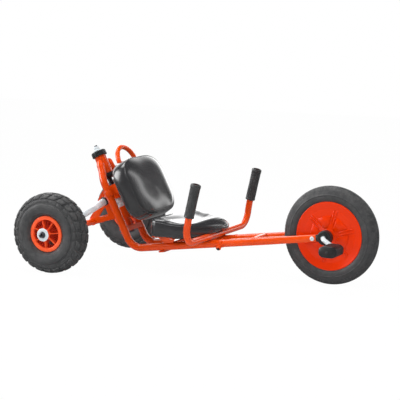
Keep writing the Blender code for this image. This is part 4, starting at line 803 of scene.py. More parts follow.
def axle_fittings(side, name):
    """Broad washer, a smaller one over it, and a domed cap nut."""
    out = (0, side, 0)
    inner, outer, radius = along_axle("axle_washer_" + name)
    washer_r = radius + 2.0
    washer = collar(AXLE_BORE, washer_r, inner, outer - 0.4, out, 0.9)
    collar(AXLE_BORE, washer_r * 0.70, outer - 0.5, outer, out, 0.3, bm=washer)
    piece("axle_washer_" + name, "plate", washer, REAR_AXLE, ZINC_STEEL)
    inner, outer, radius = along_axle("axle_nut_" + name)
    nut = collar(AXLE_BORE, radius + 1.2, inner, inner + 1.4, out, 0.4, SMALL_SIDES, steps=2)
    collar(AXLE_BORE, radius, inner + 1.2, inner + 8.5, out, 0.5, 6, nut, steps=1)
    dome = smoothed([(radius * 0.84, inner + 7.5), (radius * 0.83, inner + 10.0),
                     (radius * 0.66, inner + 13.0), (radius * 0.30, outer - 0.3), (0.05, outer)], 4)
    turned([(0.05, inner + 7.5)] + dome, out, sides=SMALL_SIDES, bm=nut)
    piece("axle_nut_" + name, "cap", nut, REAR_AXLE, DARK_STEEL)


# Front wheel, cranks and pedals

FRONT_R = half_size("front_tyre").z
FRONT_HALF = half_size("front_tyre").y
SHOULDER_BARS = 90
DISC_R = half_size("front_disc_left").z
DISC_HUB_FACE = span("front_disc_left")[1].y
DISC_FACE = 20.5
DISC_RIM_HALF = 26.0
DISC_HUB_R = 20.0
DISC_CONE_R = 64.0
DISC_SLOPE = (DISC_HUB_FACE - 2 - DISC_FACE) / (DISC_CONE_R - DISC_HUB_R - 4)
DISC_RIB_PAIRS = 6
DISC_RIB_ANGLE = math.radians(16.5)
DISC_RIB_SHIFT = 4.5
DISC_RIB_HALF = 3.0
DISC_RIB_START_R = 36.0
DISC_RIB_END_R = 86.0
CRANK_R = 7.0
CRANK_BEND_R = 11.0
CRANK_ARM_Y = 80.0
CRANK_PIN_Y = 90.0
PEDAL_LIFT = 3.0
PEDAL_GROOVES = 5


def front_tyre():
    """Slim tyre with a smooth wall, a raised line on it and a finely grooved crown."""
    bead = [(DISC_R - 7.5, DISC_RIM_HALF - 5), (DISC_R - 4, DISC_RIM_HALF - 4.2),
            (DISC_R + 0.9, DISC_RIM_HALF - 2.2)]
    wall = ((0.715, 0.900), (0.745, 0.965), (0.785, 0.990), (0.812, 0.978))
    raised_line = ((0.818, 1.0), (0.834, 0.996), (0.842, 0.955))
    shoulder = ((0.875, 0.900), (0.905, 0.835), (0.940, 0.715), (0.968, 0.550), (0.986, 0.385))
    inside = ((0.76, -0.80), (0.90, -0.62), (0.94, 0), (0.90, 0.62), (0.76, 0.80))
    half = smoothed(bead + scaled(wall + raised_line + shoulder, FRONT_R, FRONT_HALF), 3)
    for share, depth in ((0.33, 0), (0.30, 1.3), (0.25, 1.3), (0.22, 0), (0.05, 0), (0.02, 1.3)):
        half.append(Vector((FRONT_R * (1 - 0.105 * share ** 2) - depth, share * FRONT_HALF)))
    section = half + mirrored(half) + scaled(inside, FRONT_R, FRONT_HALF)
    tyre = turned(section, ACROSS, sides=WHEEL_SIDES + 16)
    for side in (-1, 1):
        for k in range(SHOULDER_BARS):
            shoulder_bar(tyre, side, 2 * math.pi * k / SHOULDER_BARS)
    piece("front_tyre", "casing", tyre, FRONT_WHEEL, TYRE_RUBBER)


def shoulder_bar(bm, side, angle):
    """A small raised bar where the front tyre's crown meets its wall."""
    rings = []
    for r, y in scaled(((0.916, 0.800), (0.945, 0.690), (0.972, 0.520)), FRONT_R, FRONT_HALF):
        ring = []
        for turn, lift in ((-0.022, -0.56), (-0.017, 0.63), (0.017, 0.63), (0.022, -0.56)):
            ring.append(((r + lift) * math.cos(turn), (r + lift) * math.sin(turn), side * (y + lift)))
        rings.append(ring)
    fin(bm, angle, rings)


def front_disc(side, name):
    """Half of the moulded disc: hub, cone with flat panels and double ribs, dished rim."""
    face, half = DISC_FACE, DISC_RIM_HALF
    outer = [(CRANK_R + GAP, DISC_HUB_FACE), (DISC_HUB_R, DISC_HUB_FACE), (DISC_HUB_R + 4, DISC_HUB_FACE - 2),
             (DISC_CONE_R, face), (DISC_R - 24, face + 0.4), (DISC_R - 7, half - 1.8),
             (DISC_R - 3.0, half - 0.8), (DISC_R - 0.6, half - 1.2), (DISC_R, half - 2.4),
             (DISC_R - 2, half - 3.8), (DISC_R - 8.3, half - 4.5), (DISC_R - 8.3, GAP)]
    inner = [(DISC_R - 12, GAP), (DISC_R - 15, face - 3.5), (DISC_CONE_R, face - 3.5),
             (CRANK_R + 7, DISC_HUB_FACE - 7), (CRANK_R + 7, GAP), (CRANK_R + GAP, GAP)]
    disc = turned(outer + inner, (0, side, 0), 1.2, sides=WHEEL_SIDES)
    for k in range(DISC_RIB_PAIRS):
        angle = DISC_RIB_ANGLE + 2 * math.pi * k / DISC_RIB_PAIRS
        for shift in (-DISC_RIB_SHIFT, DISC_RIB_SHIFT):
            disc_rib(disc, side, angle, shift)
        disc_panel(disc, side, angle + math.pi / DISC_RIB_PAIRS)
    piece("front_disc_" + name, "shell", disc, FRONT_WHEEL, DISC_PLASTIC, sharp=55)


def disc_rib(bm, side, angle, shift):
    """One rounded radial ridge, shifted off the radius that it runs along."""
    rings = []
    for r, lift in ((DISC_RIB_START_R, 0.0), (DISC_RIB_START_R + 3, 3.0), (DISC_CONE_R - 2, 4.2),
                    (DISC_CONE_R + 8, 4.2), (DISC_RIB_END_R - 3, 3.4), (DISC_RIB_END_R, 0.0)):
        foot = DISC_FACE + DISC_SLOPE * max(DISC_CONE_R - r, 0) - 1.0
        ring = []
        for k in range(-4, 5):
            height = foot + (lift * 0.75 + 1.0) * math.cos(math.pi * k / 8)
            ring.append((r, shift + DISC_RIB_HALF * k / 4, side * height))
        rings.append(ring)
    fin(bm, angle, rings)


def disc_panel(bm, side, angle):
    """A flat wedge on the cone between two pairs of ribs."""
    low_r, high_r = DISC_HUB_R + 7, DISC_CONE_R - 3
    rings = []
    for lift, inset in ((-1.6, -0.6), (1.5, 0.0), (2.1, 0.9)):
        low, high = [DISC_FACE + DISC_SLOPE * (DISC_CONE_R - r) * 0.94 + lift for r in (low_r, high_r)]
        narrow, wide = 6.0 - abs(inset), 23.0 - abs(inset)
        rings.append([(low_r + inset, -narrow, side * low), (low_r + inset, narrow, side * low),
                      (high_r - inset, wide, side * high), (high_r - inset, -wide, side * high)])
    fin(bm, angle, rings)


def crank_axle():
    """One bent rod with rounded ends, plated."""
    pin = FRONT_WHEEL.inverted() @ joint_at("pedal_right_spin")
    end = span("crank_axle", FRONT_WHEEL)[1].y - 5.0
    foot = Vector((pin.x, 0, pin.z))
    half = [ACROSS * CRANK_ARM_Y, ACROSS * CRANK_PIN_Y - foot, ACROSS * end - foot]
    corners = [-p for p in reversed(half)] + half
    rod = tube(arced(corners, CRANK_BEND_R, 8), UP, CRANK_R, sides=SMALL_SIDES, lip=1.5)
    piece("crank_axle", "rod", rod, FRONT_WHEEL, ZINC_STEEL)
    washers = bmesh.new()
    for side in (-1, 1):
        collar(CRANK_R + GAP, 12.5, 68.0, 70.0, (0, side, 0), 0.5, SMALL_SIDES, washers)
    piece("crank_axle", "", washers, FRONT_WHEEL, BLACK_PLASTIC, extra=True, name="crank_washers")


def pedal(side, name):
    """Rounded block with grooves round it and a cap over the pin's end."""
    node = "pedal_" + name
    place = place_at(joint_at(node + "_spin"))
    low, high = span(node, place)
    width = high.y - low.y
    long, tall = high.x, high.z * 1.06
    corners = ((1, 0.55), (0.62, 1), (-0.62, 1), (-1, 0.55), (-1, -0.55), (-0.62, -1), (0.62, -1), (1, -0.55))
    outline = softened([(x * long, z * tall) for x, z in corners], 6.0, 5)
    ends = ((0.0, 0.86, 0.80), (1.2, 0.95, 0.92), (3.0, 1.0, 1.0))
    stations = list(ends)
    for k in range(PEDAL_GROOVES):
        middle = width * (k + 1) / (PEDAL_GROOVES + 1)
        for along, share in ((-2.4, 1.0), (-1.7, 0.90), (1.7, 0.90), (2.4, 1.0)):
            stations.append((middle + along, 1.0, share))
    stations += [(width - along, wide, share) for along, wide, share in reversed(ends)]
    rings = []
    for along, wide, share in stations:
        y = side * (along - width / 2)
        rings.append([(p.x * wide, y, p.y * share + PEDAL_LIFT) for p in outline])
    piece(node, "block", loft(rings), place, BLACK_PLASTIC, sharp=50)
    face = width / 2
    dome = smoothed([(6.2, face - 1), (6.2, face + 0.6), (4.6, face + 1.7), (0.05, face + 2.0)], 3)
    cap = turned([(0.05, face - 1)] + dome, (0, side, 0), sides=SMALL_SIDES)
    piece(node, "pin_cap", cap, place, BLACK_PLASTIC, extra=True)


# Frame tubes

STEER_TO_RUN = RUN.inverted() @ STEER
RAIL_END_T = 214.0
RAIL_SHOULDER_T = 200.0
RAIL_SPREAD_T = 170.0
RAIL_COLLAR_T = 118.0
RAIL_SPREAD_R = 70.0
RAIL_BEND_R = 52.0
RAIL_MOUTH = span("frame_rail_left", RUN)[1].x + MOUTH_SHIFT
BOSS_TURN = math.radians(42)
BLADE_TAIL_R = TUBE_R - 2.3
BLADE_BORE_R = BLADE_TAIL_R - 1.7
MORPH_START = -215.0
MORPH_LENGTH = 180.0
MORPH_STEPS = 12
BLOCK_R = 23.0
BLOCK_INNER_Y = 43.0
BLOCK_OUTER_Y = 67.0


def upright_point(y, t):
    """A point in the plane of the uprights at a height along the head tube, in the rails' axes."""
    return STEER_TO_RUN @ Vector((UPRIGHT_F, y, t))


def frame_rail(side, name):
    """One rail from the head tube down, out and round, with the fork's clamp boss and its screw."""
    head_y = side * math.sqrt((HEAD_R + TUBE_R + GAP) ** 2 - UPRIGHT_F ** 2)
    y = side * RAIL_Y
    foot = upright_point(0, 0)
    slope = upright_point(0, 100) - foot
    corner = foot - slope * (foot.z / slope.z)
    upper = [upright_point(head_y, RAIL_END_T), upright_point(head_y, RAIL_SHOULDER_T),
             upright_point(y, RAIL_SPREAD_T), upright_point(y, 0)]
    lower = [upright_point(y, 0), Vector((corner.x, y, corner.z)), Vector((RAIL_MOUTH, y, 0))]
    path = arced(upper, RAIL_SPREAD_R, 8)[:-1] + arced(lower, RAIL_BEND_R, 16)[1:]
    rail = tube(path, ACROSS, TUBE_R, TUBE_R - TUBE_WALL)
    collar(TUBE_R - 0.2, TUBE_R + 1.0, RAIL_MOUTH - 9.0, RAIL_MOUTH - 2.0, AHEAD, 0.6, TUBE_SIDES,
           rail, (0, y, 0))
    out = Vector((0, side * math.cos(BOSS_TURN), -math.sin(BOSS_TURN)))
    base = Vector((RAIL_MOUTH - 13.0, y, 0))
    boss_top = TUBE_R + 10
    boss = [(3.4, TUBE_R - 1), (9.6, TUBE_R - 1), (8.6, TUBE_R + 2), (8.2, boss_top), (3.4, boss_top)]
    turned(boss, out, 1.2, sides=SMALL_SIDES, bm=rail, centre=base)
    collar(TUBE_R - GAP, TUBE_R + 2.6, -9, 9, slope, 2.0, TUBE_SIDES, rail, upright_point(y, RAIL_COLLAR_T))
    piece("frame_rail_" + name, "tube", rail, RUN, FRAME_PAINT)
    start = boss_top + GAP
    screw = [(0.1, TUBE_R + 2), (3.0, TUBE_R + 2), (3.0, start), (4.8, start), (4.8, start + 2.0),
             (4.0, start + 3.0), (2.6, start + 3.0), (2.4, start + 1.5), (0.1, start + 1.5)]
    screw = turned(screw, out, 0.4, 2, SMALL_SIDES, centre=base)
    piece("clamp_screw_" + name, "head", screw, RUN, DARK_STEEL)


def fork_blade(side, name):
    """A blade that slips into the rail and flattens to an upright oval at the hub."""
    low, high = span("fork_blade_" + name, RUN)
    y = side * RAIL_Y
    step = RAIL_MOUTH + GAP
    round_part = ((low.x, BLADE_TAIL_R), (step, BLADE_TAIL_R), (step, TUBE_R - 0.6), (step + 0.6, TUBE_R))
    stations = [(s, 2 * r, 2 * r) for s, r in round_part]
    for k in range(MORPH_STEPS + 1):
        share = k / MORPH_STEPS
        soft = share * share * (3 - 2 * share)
        stations.append((MORPH_START + MORPH_LENGTH * share,
                         2 * TUBE_R + (BLADE_END_TALL - 2 * TUBE_R) * soft,
                         2 * TUBE_R + (BLADE_END_WIDE - 2 * TUBE_R) * soft))
    for back, less in ((0.7, 0.0), (0.0, 1.2)):
        stations.append((high.x - back, BLADE_END_TALL - less, BLADE_END_WIDE - less))
    rings = [oval(s, y, tall, wide) for s, tall, wide in stations]
    for s, tall, wide in reversed(stations):
        if s != step:
            rings.append(oval(s, y, min(2 * BLADE_BORE_R, tall - 3.4), min(2 * BLADE_BORE_R, wide - 3.4)))
    piece("fork_blade_" + name, "tube", loft(rings, closed=True), RUN, FRAME_PAINT)
    seat = (high.x - 12.0, side * (RAIL_Y + 7.3), 0)
    bolt_head("blade_bolt_" + name, RUN, seat, (0, side, 0), 5.6, 3.4, ZINC_STEEL)


def bearing_block(side, name):
    """Black drum round the crank shaft with a neck that plugs into the blade."""
    inner, outer, bore = BLOCK_INNER_Y, BLOCK_OUTER_Y, CRANK_R + GAP
    drum = [(bore, inner), (14, inner), (BLOCK_R, inner + 3), (BLOCK_R, outer - 2.5), (BLOCK_R - 2.5, outer),
            (13.0, outer), (12.2, outer - 1.6), (bore, outer - 1.6)]
    block = turned(drum, (0, side, 0), 1.0)
    end = span("fork_blade_" + name, RUN)[1].x
    neck, width = BLADE_END_TALL - 1.0, BLADE_END_WIDE
    stations = ((-15.0, neck + 3.0, width), (end + 4, neck, width), (end + 1.0, neck + 0.6, width + 0.2),
                (end + GAP, neck, width - 0.8), (end + GAP, neck - 8, width - 5.5),
                (end - 30, neck - 8, width - 5.5))
    loft([oval(s, side * RAIL_Y, tall, wide) for s, tall, wide in stations], block)
    piece("bearing_block_" + name, "body", block, RUN, BLACK_PLASTIC)


def fork_bridge():
    """Cross tube between the blades with weld beads at its ends."""
    low, high = span("fork_bridge", RUN)
    middle = (low + high) / 2
    middle.y = 0
    radius = (high.x - low.x) / 2
    half = ACROSS * (RAIL_Y - 4)
    bridge = tube([middle - half, middle, middle + half], AHEAD, radius)
    bead_y = RAIL_Y - math.sqrt(TUBE_R ** 2 - 36)
    for side in (-1, 1):
        weld_bead(bridge, middle + ACROSS * side * bead_y, ACROSS, radius - 0.4)
    piece("fork_bridge", "tube", bridge, RUN, FRAME_PAINT)


# Head tube and the carriage that steers

CAP_R = 25.5
HEAD_LOW, HEAD_HIGH = span("head_tube", STEER)
HEAD_TOP = HEAD_HIGH.z - HEAD_DROP
NUT_LOW = span("spindle_nut", STEER)[0].z - HEAD_DROP
SPINDLE_R = 8.0
THREAD_PITCH = 1.4


def head_tube():
    """The head tube with rolled ends and small beads where the rails are welded to it."""
    head = collar(HEAD_R - 3.5, HEAD_R, HEAD_LOW.z, HEAD_TOP, UP, 1.2)
    for side in (-1, 1):
        for t in (HEAD_LOW.z + 6, HEAD_TOP - 8):
            weld_bead(head, (UPRIGHT_F / 2, side * (HEAD_R - 0.5), t), UP, 2.2, 1.2, 10)
    piece("head_tube", "shell", head, STEER, FRAME_PAINT)


def head_caps():
    """A cap with a skirt over the head tube's top and a flat one under its foot."""
    low, high = span("head_cap_upper", STEER)
    bottom, top = low.z - HEAD_DROP, high.z - HEAD_DROP
    seat = HEAD_TOP + GAP
    skirt = seat - 7.0
    upper = [(SPINDLE_BORE, bottom), (16.0, bottom), (16.0, seat), (HEAD_R + GAP, seat),
             (HEAD_R + GAP, skirt), (CAP_R - 1.5, skirt), (CAP_R, skirt + 1.5), (CAP_R - 0.6, top - 3),
             (CAP_R - 4, top), (15, top), (14, top - 1.5), (SPINDLE_BORE, top - 1.5)]
    piece("head_cap_upper", "moulding", turned(upper, UP, 1.2), STEER, BLACK_PLASTIC)
    low, high = span("head_cap_lower", STEER)
    seat = HEAD_LOW.z - GAP
    lower = [(SPINDLE_BORE, low.z), (HEAD_R - 1, low.z), (CAP_R - 2, low.z + 3), (CAP_R - 2, seat),
             (16.2, seat), (16.2, high.z), (SPINDLE_BORE, high.z)]
    piece("head_cap_lower", "moulding", turned(lower, UP, 1.2), STEER, BLACK_PLASTIC)


def spindle_nut():
    """A hexagon nut on two washers."""
    nut = collar(AXLE_BORE, 13.5, NUT_LOW, NUT_LOW + 2.5, UP, 0.5, SMALL_SIDES)
    collar(AXLE_BORE, 11.5, NUT_LOW + 2.5, NUT_LOW + 4.5, UP, 0.5, SMALL_SIDES, nut)
    collar(AXLE_BORE, 10.5, NUT_LOW + 4.5, span("spindle_nut", STEER)[1].z, UP, 0.8, 6, nut, steps=2)
    piece("spindle_nut", "hexagon", nut, STEER, ZINC_STEEL)


def spindle():
    """The steering spindle, with a domed head below and a threaded tip above."""
    low, high = span("steering_spindle", STEER)
    profile = [(0.1, low.z), (9.0, low.z), (12.0, low.z + 2), (12.0, low.z + 5), (SPINDLE_R, low.z + 5.2),
               (SPINDLE_R, NUT_LOW - 1.5), (6.0, NUT_LOW)]
    turns = math.ceil((high.z - 2 - NUT_LOW) / THREAD_PITCH)
    for k in range(turns):
        t = NUT_LOW + k * THREAD_PITCH
        profile += [(6.0, t + 0.2), (5.5, t + 0.9)]
    profile += [(5.2, high.z - 0.8), (4.2, high.z), (0.1, high.z)]
    piece("steering_spindle", "shaft", turned(profile, UP, sides=SMALL_SIDES), STEER, DARK_STEEL)


def carriage_stack():
    """Boss, spacer ring and sleeve that ride on the spindle, and the lower bush."""
    bore = SPINDLE_BORE
    low, high = span("upper_boss", STEER)
    boss = collar(bore, high.y, low.z, high.z, UP, 1.5)
    weld_bead(boss, (0, 0, low.z + 1.2), UP, high.y - 0.6, 1.2, ROUND_SIDES)
    piece("upper_boss", "ring", boss, STEER, FRAME_PAINT)
    low, high = span("spacer_ring", STEER)
    middle = (low.z + high.z) / 2
    ring = collar(bore, high.y, low.z, middle - 0.4, UP, 0.8)
    collar(bore, high.y, middle + 0.4, high.z, UP, 0.8, bm=ring)
    piece("spacer_ring", "pair", ring, STEER, ZINC_STEEL)
    low, high = span("lower_sleeve", STEER)
    neck = low.z + 25
    sleeve = [(bore, low.z), (10.5, low.z), (10.5, neck - 3), (high.y, neck), (high.y, high.z),
              (bore, high.z)]
    piece("lower_sleeve", "tube", turned(sleeve, UP, 1.5), STEER, FRAME_PAINT)
    low, high = span("lower_bush", STEER)
    flange = high.z - 2
    bush = [(bore, low.z), (11, low.z), (11, flange), (high.y, flange), (high.y, high.z), (bore, high.z)]
    piece("lower_bush", "flanged", turned(bush, UP, 0.5, 2, SMALL_SIDES), STEER, BLACK_PLASTIC)


BEAM_FOOT_Y = 208.0
BEAM_FOOT = AXLE_LOCAL + Vector((-STEER_AXIS.x, 0, STEER_AXIS.z)) * 4
BEAM_MIDDLE = Vector((-33.0, 0, 108.0))
BEAM_BEND_R = 40.0
BEAM_R = 11.8
BEAM_GROOVE_Y = 66.0
BEAM_GROOVE_DEPTH = 1.5
BEAM_GROOVE_ANGLE = 0.26
BEAM_ARM_STEPS = 12
SLEEVE_BORE = 12.1


def beam_path():
    """The stay beam's centre line from hub to hub, with its arms in short steps."""
    rise = BEAM_MIDDLE - BEAM_FOOT
    slope = math.atan2(rise.length, BEAM_FOOT_Y)
    apex = BEAM_MIDDLE + rise.normalized() * BEAM_BEND_R * (1 / math.cos(slope) - 1)
    bend = arced([BEAM_FOOT - ACROSS * BEAM_FOOT_Y, apex, BEAM_FOOT + ACROSS * BEAM_FOOT_Y], BEAM_BEND_R, 14)
    left = [bend[0].lerp(bend[1], k / BEAM_ARM_STEPS) for k in range(BEAM_ARM_STEPS)]
    right = [Vector((p.x, -p.y, p.z)) for p in reversed(left)]
    return left + bend[1:-1] + right, bend[1:-1]


def stay_beam():
    """Zinc tube from hub to hub, with a groove pressed along each arm, in a painted sleeve with end rings."""
    path, bend = beam_path()
    rings = []
    bores = []
    for point, u, v in cross_frames(path, AHEAD):
        share = min(max((abs(point.y) - BEAM_GROOVE_Y) / 10, 0), 1)
        points = []
        for i in range(TUBE_SIDES):
            angle = 2 * math.pi * i / TUBE_SIDES
            off = (angle + math.pi / 2) % math.pi - math.pi / 2
            radius = BEAM_R - BEAM_GROOVE_DEPTH * share * math.exp(-(off / BEAM_GROOVE_ANGLE) ** 2)
            points.append(point + radius * (math.cos(angle) * u + math.sin(angle) * v))
        rings.append(points)
        bores.append(circle(point, u, v, BEAM_R - 3.0, TUBE_SIDES))
    piece("stay_beam", "tube", loft(rings + bores[::-1], closed=True), STEER, ZINC_STEEL)

    first = bend[0] + (bend[0] - bend[1]).normalized() * 4
    last = Vector((first.x, -first.y, first.z))
    sleeve = tube([first] + bend + [last], AHEAD, SLEEVE_BORE + 3.1, SLEEVE_BORE, lip=1.0)
    piece("beam_sleeve", "tube", sleeve, STEER, FRAME_PAINT)
    ends = bmesh.new()
    for point, inward in ((first, bend[0]), (last, bend[-1])):
        collar(SLEEVE_BORE, SLEEVE_BORE + 3.5, GAP, 5.0, point - inward, 1.0, TUBE_SIDES, ends, point)
    piece("beam_sleeve", "", ends, STEER, BLACK_PLASTIC, extra=True, name="beam_end_rings")


def axle():
    """The painted axle tube with weld beads, and the plated rod through it."""
    half = span("axle_tube")[1].y
    bar = collar(AXLE_BORE, AXLE_R, -half, half, ACROSS, 1.0, TUBE_SIDES)
    for side in (-1, 1):
        weld_bead(bar, (0, side * 3.4, 0), ACROSS, AXLE_R + 0.2, 1.3)
    piece("axle_tube", "bar", bar, REAR_AXLE, FRAME_PAINT)
    half = span("axle_rod")[1].y
    rod = collar(0.1, AXLE_BORE - GAP, -half, half, ACROSS, 0.8, SMALL_SIDES, steps=2)
    piece("axle_rod", "bar", rod, REAR_AXLE, ZINC_STEEL)


WEB_FRONT = -18.3
WEB_HALF = 2.5
WEB_EDGE = 0.8


def carriage_web():
    """Upright plate with a three-cornered hole, its edges rounded over."""
    axle_f, axle_t = AXLE_LOCAL.x, AXLE_LOCAL.z
    tail_f = axle_f - AXLE_R - 7.0
    outline = [(WEB_FRONT, 35), (-77, 46), (axle_f, axle_t - 8.5), (tail_f, axle_t - 5),
               (tail_f + 2, axle_t + 5), (axle_f - 5, axle_t + 15), (-115, 88), (-97, 95), (-80, 105),
               (-76, 118), (-56, 135), (-40, 143), (-30, 141), (WEB_FRONT, 122)]
    hole = [(-58, 88), (-60, 60), (-66, 59), (-92, 67), (-93, 71), (-62, 89)]
    bm = bmesh.new()
    rims = []
    for points, grow in ((outline, -WEB_EDGE), (hole, WEB_EDGE)):
        points = softened(points, 3.0)
        centre = sum(points, Vector((0, 0))) / len(points)
        loops = []
        for y, step in ((-WEB_HALF, grow), (WEB_EDGE - WEB_HALF, 0), (WEB_HALF - WEB_EDGE, 0),
                        (WEB_HALF, grow)):
            moved = [p + (p - centre).normalized() * step for p in points]
            loops.append([bm.verts.new((p.x, y, p.y)) for p in moved])
        rims.append(loops)
    for loops in rims:
        join_loops(bm, loops)
    for end in (0, -1):
        edges = []
        for verts in (rims[0][end], rims[1][end]):
            for pair in zip(verts, verts[1:] + verts[:1]):
                edges.append(bm.edges.get(pair) or bm.edges.new(pair))
        bmesh.ops.triangle_fill(bm, edges=edges, use_beauty=True)
    piece("carriage_web", "plate", bm, STEER, FRAME_PAINT)


# Handle bar

BAR_LEAN = math.radians(12.7)
BAR_LOW, BAR_HIGH = span("handle_bar")
BAR_R = BAR_HIGH.y - 230.0
BAR_X = BAR_LOW.x + BAR_R
BAR_Z = BAR_LOW.z + BAR_R
BAR_HALF = BAR_HIGH.y - BAR_R
BAR_BEND_R = 48.0
BAR_FOOT_SHIFT = 8.0
BAR_FOOT_RISE = 95.0
BAR_STEPS = 10
BAR_BEND_RISE = 50.0
GRIP_R = span("grip_left")[1].y - BAR_HALF
GRIP_FOOT_Z = 211.0
GRIP_LENGTH = 108.0
GRIP_FLUTES = 20


def bar_point(rise, y):
    """A point in the leaning plane of the bar, rise above its cross part."""
    forward = BAR_FOOT_SHIFT * max(1 - rise / BAR_FOOT_RISE, 0) ** 2
    return Vector((BAR_X + forward + rise * math.sin(BAR_LEAN), y, BAR_Z + rise * math.cos(BAR_LEAN)))


def handle_bar():
    """The bent bar under the seat's front edge."""
    end = (BAR_HIGH.z - BAR_Z) / math.cos(BAR_LEAN) - 2
    corners = [bar_point(rise, side * BAR_HALF) for side, rise in ((-1, BAR_BEND_RISE), (-1, 0), (1, 0),
                                                                   (1, BAR_BEND_RISE))]
    rises = [end - (end - BAR_BEND_RISE) * k / BAR_STEPS for k in range(BAR_STEPS)]
    near = [bar_point(rise, -BAR_HALF) for rise in rises]
    far = [bar_point(rise, BAR_HALF) for rise in reversed(rises)]
    bar = tube(near + arced(corners, BAR_BEND_R, 14)[1:-1] + far, AHEAD, BAR_R, BAR_R - TUBE_WALL)
    piece("handle_bar", "tube", bar, GROUND, FRAME_PAINT)


def grip(side, name):
    """Ribbed rubber grip with a collar below and a domed end."""
    y = side * BAR_HALF
    base_rise = (GRIP_FOOT_Z - BAR_Z) / math.cos(BAR_LEAN)
    _, u, v = axes_of((math.sin(BAR_LEAN), 0, math.cos(BAR_LEAN)))
    count = GRIP_FLUTES * 4
    top = GRIP_LENGTH
    stations = ((0, -1.4, 0), (0.8, -0.3, 0), (1.8, 0, 0), (5.5, 0, 0), (6.5, -0.5, 0.2), (8.5, -0.5, 1.0),
                (24, -0.2, 1.0), (52, -0.7, 1.0), (80, -0.3, 1.0), (top - 14, -0.3, 1.0),
                (top - 12, -0.3, 0.2), (top - 11, 0.2, 0), (top - 4, 0.5, 0), (top - 2, -0.2, 0),
                (top - 0.7, -2.2, 0), (top, -5, 0))
    rings = []
    for along, swell, flute in stations:
        centre = bar_point(base_rise + along, y)
        points = []
        for i in range(count):
            angle = 2 * math.pi * i / count
            radius = GRIP_R + swell - 0.95 * flute * (0.5 + 0.5 * math.cos(GRIP_FLUTES * angle)) ** 2
            points.append(centre + radius * (math.cos(angle) * u + math.sin(angle) * v))
        rings.append(points)
    for along in (top - 5, 0):
        rings.append(circle(bar_point(base_rise + along, y), u, v, BAR_R + GAP, count))
    piece("grip_" + name, "sleeve", loft(rings), GROUND, BLACK_RUBBER, sharp=60)


def bar_pad(side, name):
    """Small saddle block between rail and bar, and the bolt through both."""
    low, high = span("bar_pad_" + name, RUN)
    middle = (low + high) / 2
    rings = []
    for level, long, wide in ((low.z, 9.0, 7.0), (low.z + 1.5, 10.0, 8.0), (high.z - 1.5, 10.0, 8.0),
                              (high.z, 9.0, 7.0)):
        outline = evenly(rounded_square(long, wide, 4), 24)
        rings.append([Vector((middle.x + p.x, middle.y + p.y, level)) for p in outline])
    piece("bar_pad_" + name, "saddle", loft(rings), RUN, BLACK_PLASTIC)
    bolt_s = span("bar_bolt_" + name, RUN)[0].x + 6.0
    top = TUBE_R + 2.0 + 2 * BAR_R - 0.2
    bolt_head("bar_bolt_" + name, RUN, (bolt_s, side * RAIL_Y, top), UP, 5.2, 2.6, DARK_STEEL)


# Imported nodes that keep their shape, with the width of their rounded edges

KEPT = ((0.8, "lower_pivot_bracket", FRAME_PAINT), (1.0, "lower_cross_bar", FRAME_PAINT),
        (0.8, "seat_bracket", FRAME_PAINT), (1.0, "backrest_board", PLYWOOD),
        (0.6, "backrest_bracket", FRAME_PAINT))


def kept_nodes():
    """Gives each kept node its finish and rounds its edges."""
    for width, node, finish in KEPT:
        obj = NODES[node]
        obj.data.materials.clear()
        obj.data.materials.append(finish)
        weld = obj.modifiers.new("join", "WELD")
        weld.merge_threshold = 0.00001
        bevel = obj.modifiers.new("rounded edges", "BEVEL")
        bevel.width = width * MM
        bevel.segments = 2
        bevel.limit_method = "ANGLE"
        bevel.angle_limit = math.radians(35)
        smooth = obj.modifiers.new("shading", "WEIGHTED_NORMAL")
        smooth.keep_sharp = False
        for polygon in obj.data.polygons:
            polygon.use_smooth = True


def seat_bolts():
    """The bolts under the seat's tabs, heads down."""
    for _, name in SIDES:
        for row in ("rear", "front"):
            node = "seat_bolt_" + row + "_" + name
            low, high = span(node)
            seat = ((low.x + high.x) / 2, (low.y + high.y) / 2, low.z + 3.0)
            bolt_head(node, GROUND, seat, -UP, 5.4, 2.6, ZINC_STEEL)


# Cushions

COVER_PRESSURE = 3.0
COVER_FRAMES = 20
# Rows of a cushion's mesh: the pinned ones under it, and the one that its welt follows
PINNED_ROWS = (0, 1, 2, 3)
WELT_ROW = 10


def cushion_mesh(rows, outline, centres, at):
    """A closed cushion from rows of (inset, level), each ring an inset copy of one outline."""
    bm = bmesh.new()
    loops = []
    for inset, level in rows:
        shrunk = [p * max(1 - inset / p.length, 0) for p in outline]
        loops.append([bm.verts.new(at(p, inset, level)) for p in shrunk])
    join_loops(bm, loops)
    for verts, level in zip((loops[0], loops[-1]), centres):
        centre = bm.verts.new(at(Vector((0, 0)), 999, level))
        for i in range(len(verts)):
            bm.faces.new((verts[i], verts[(i + 1) % len(verts)], centre))
    bm.verts.index_update()
    return bm, [[vertex.index for vertex in loop] for loop in loops]


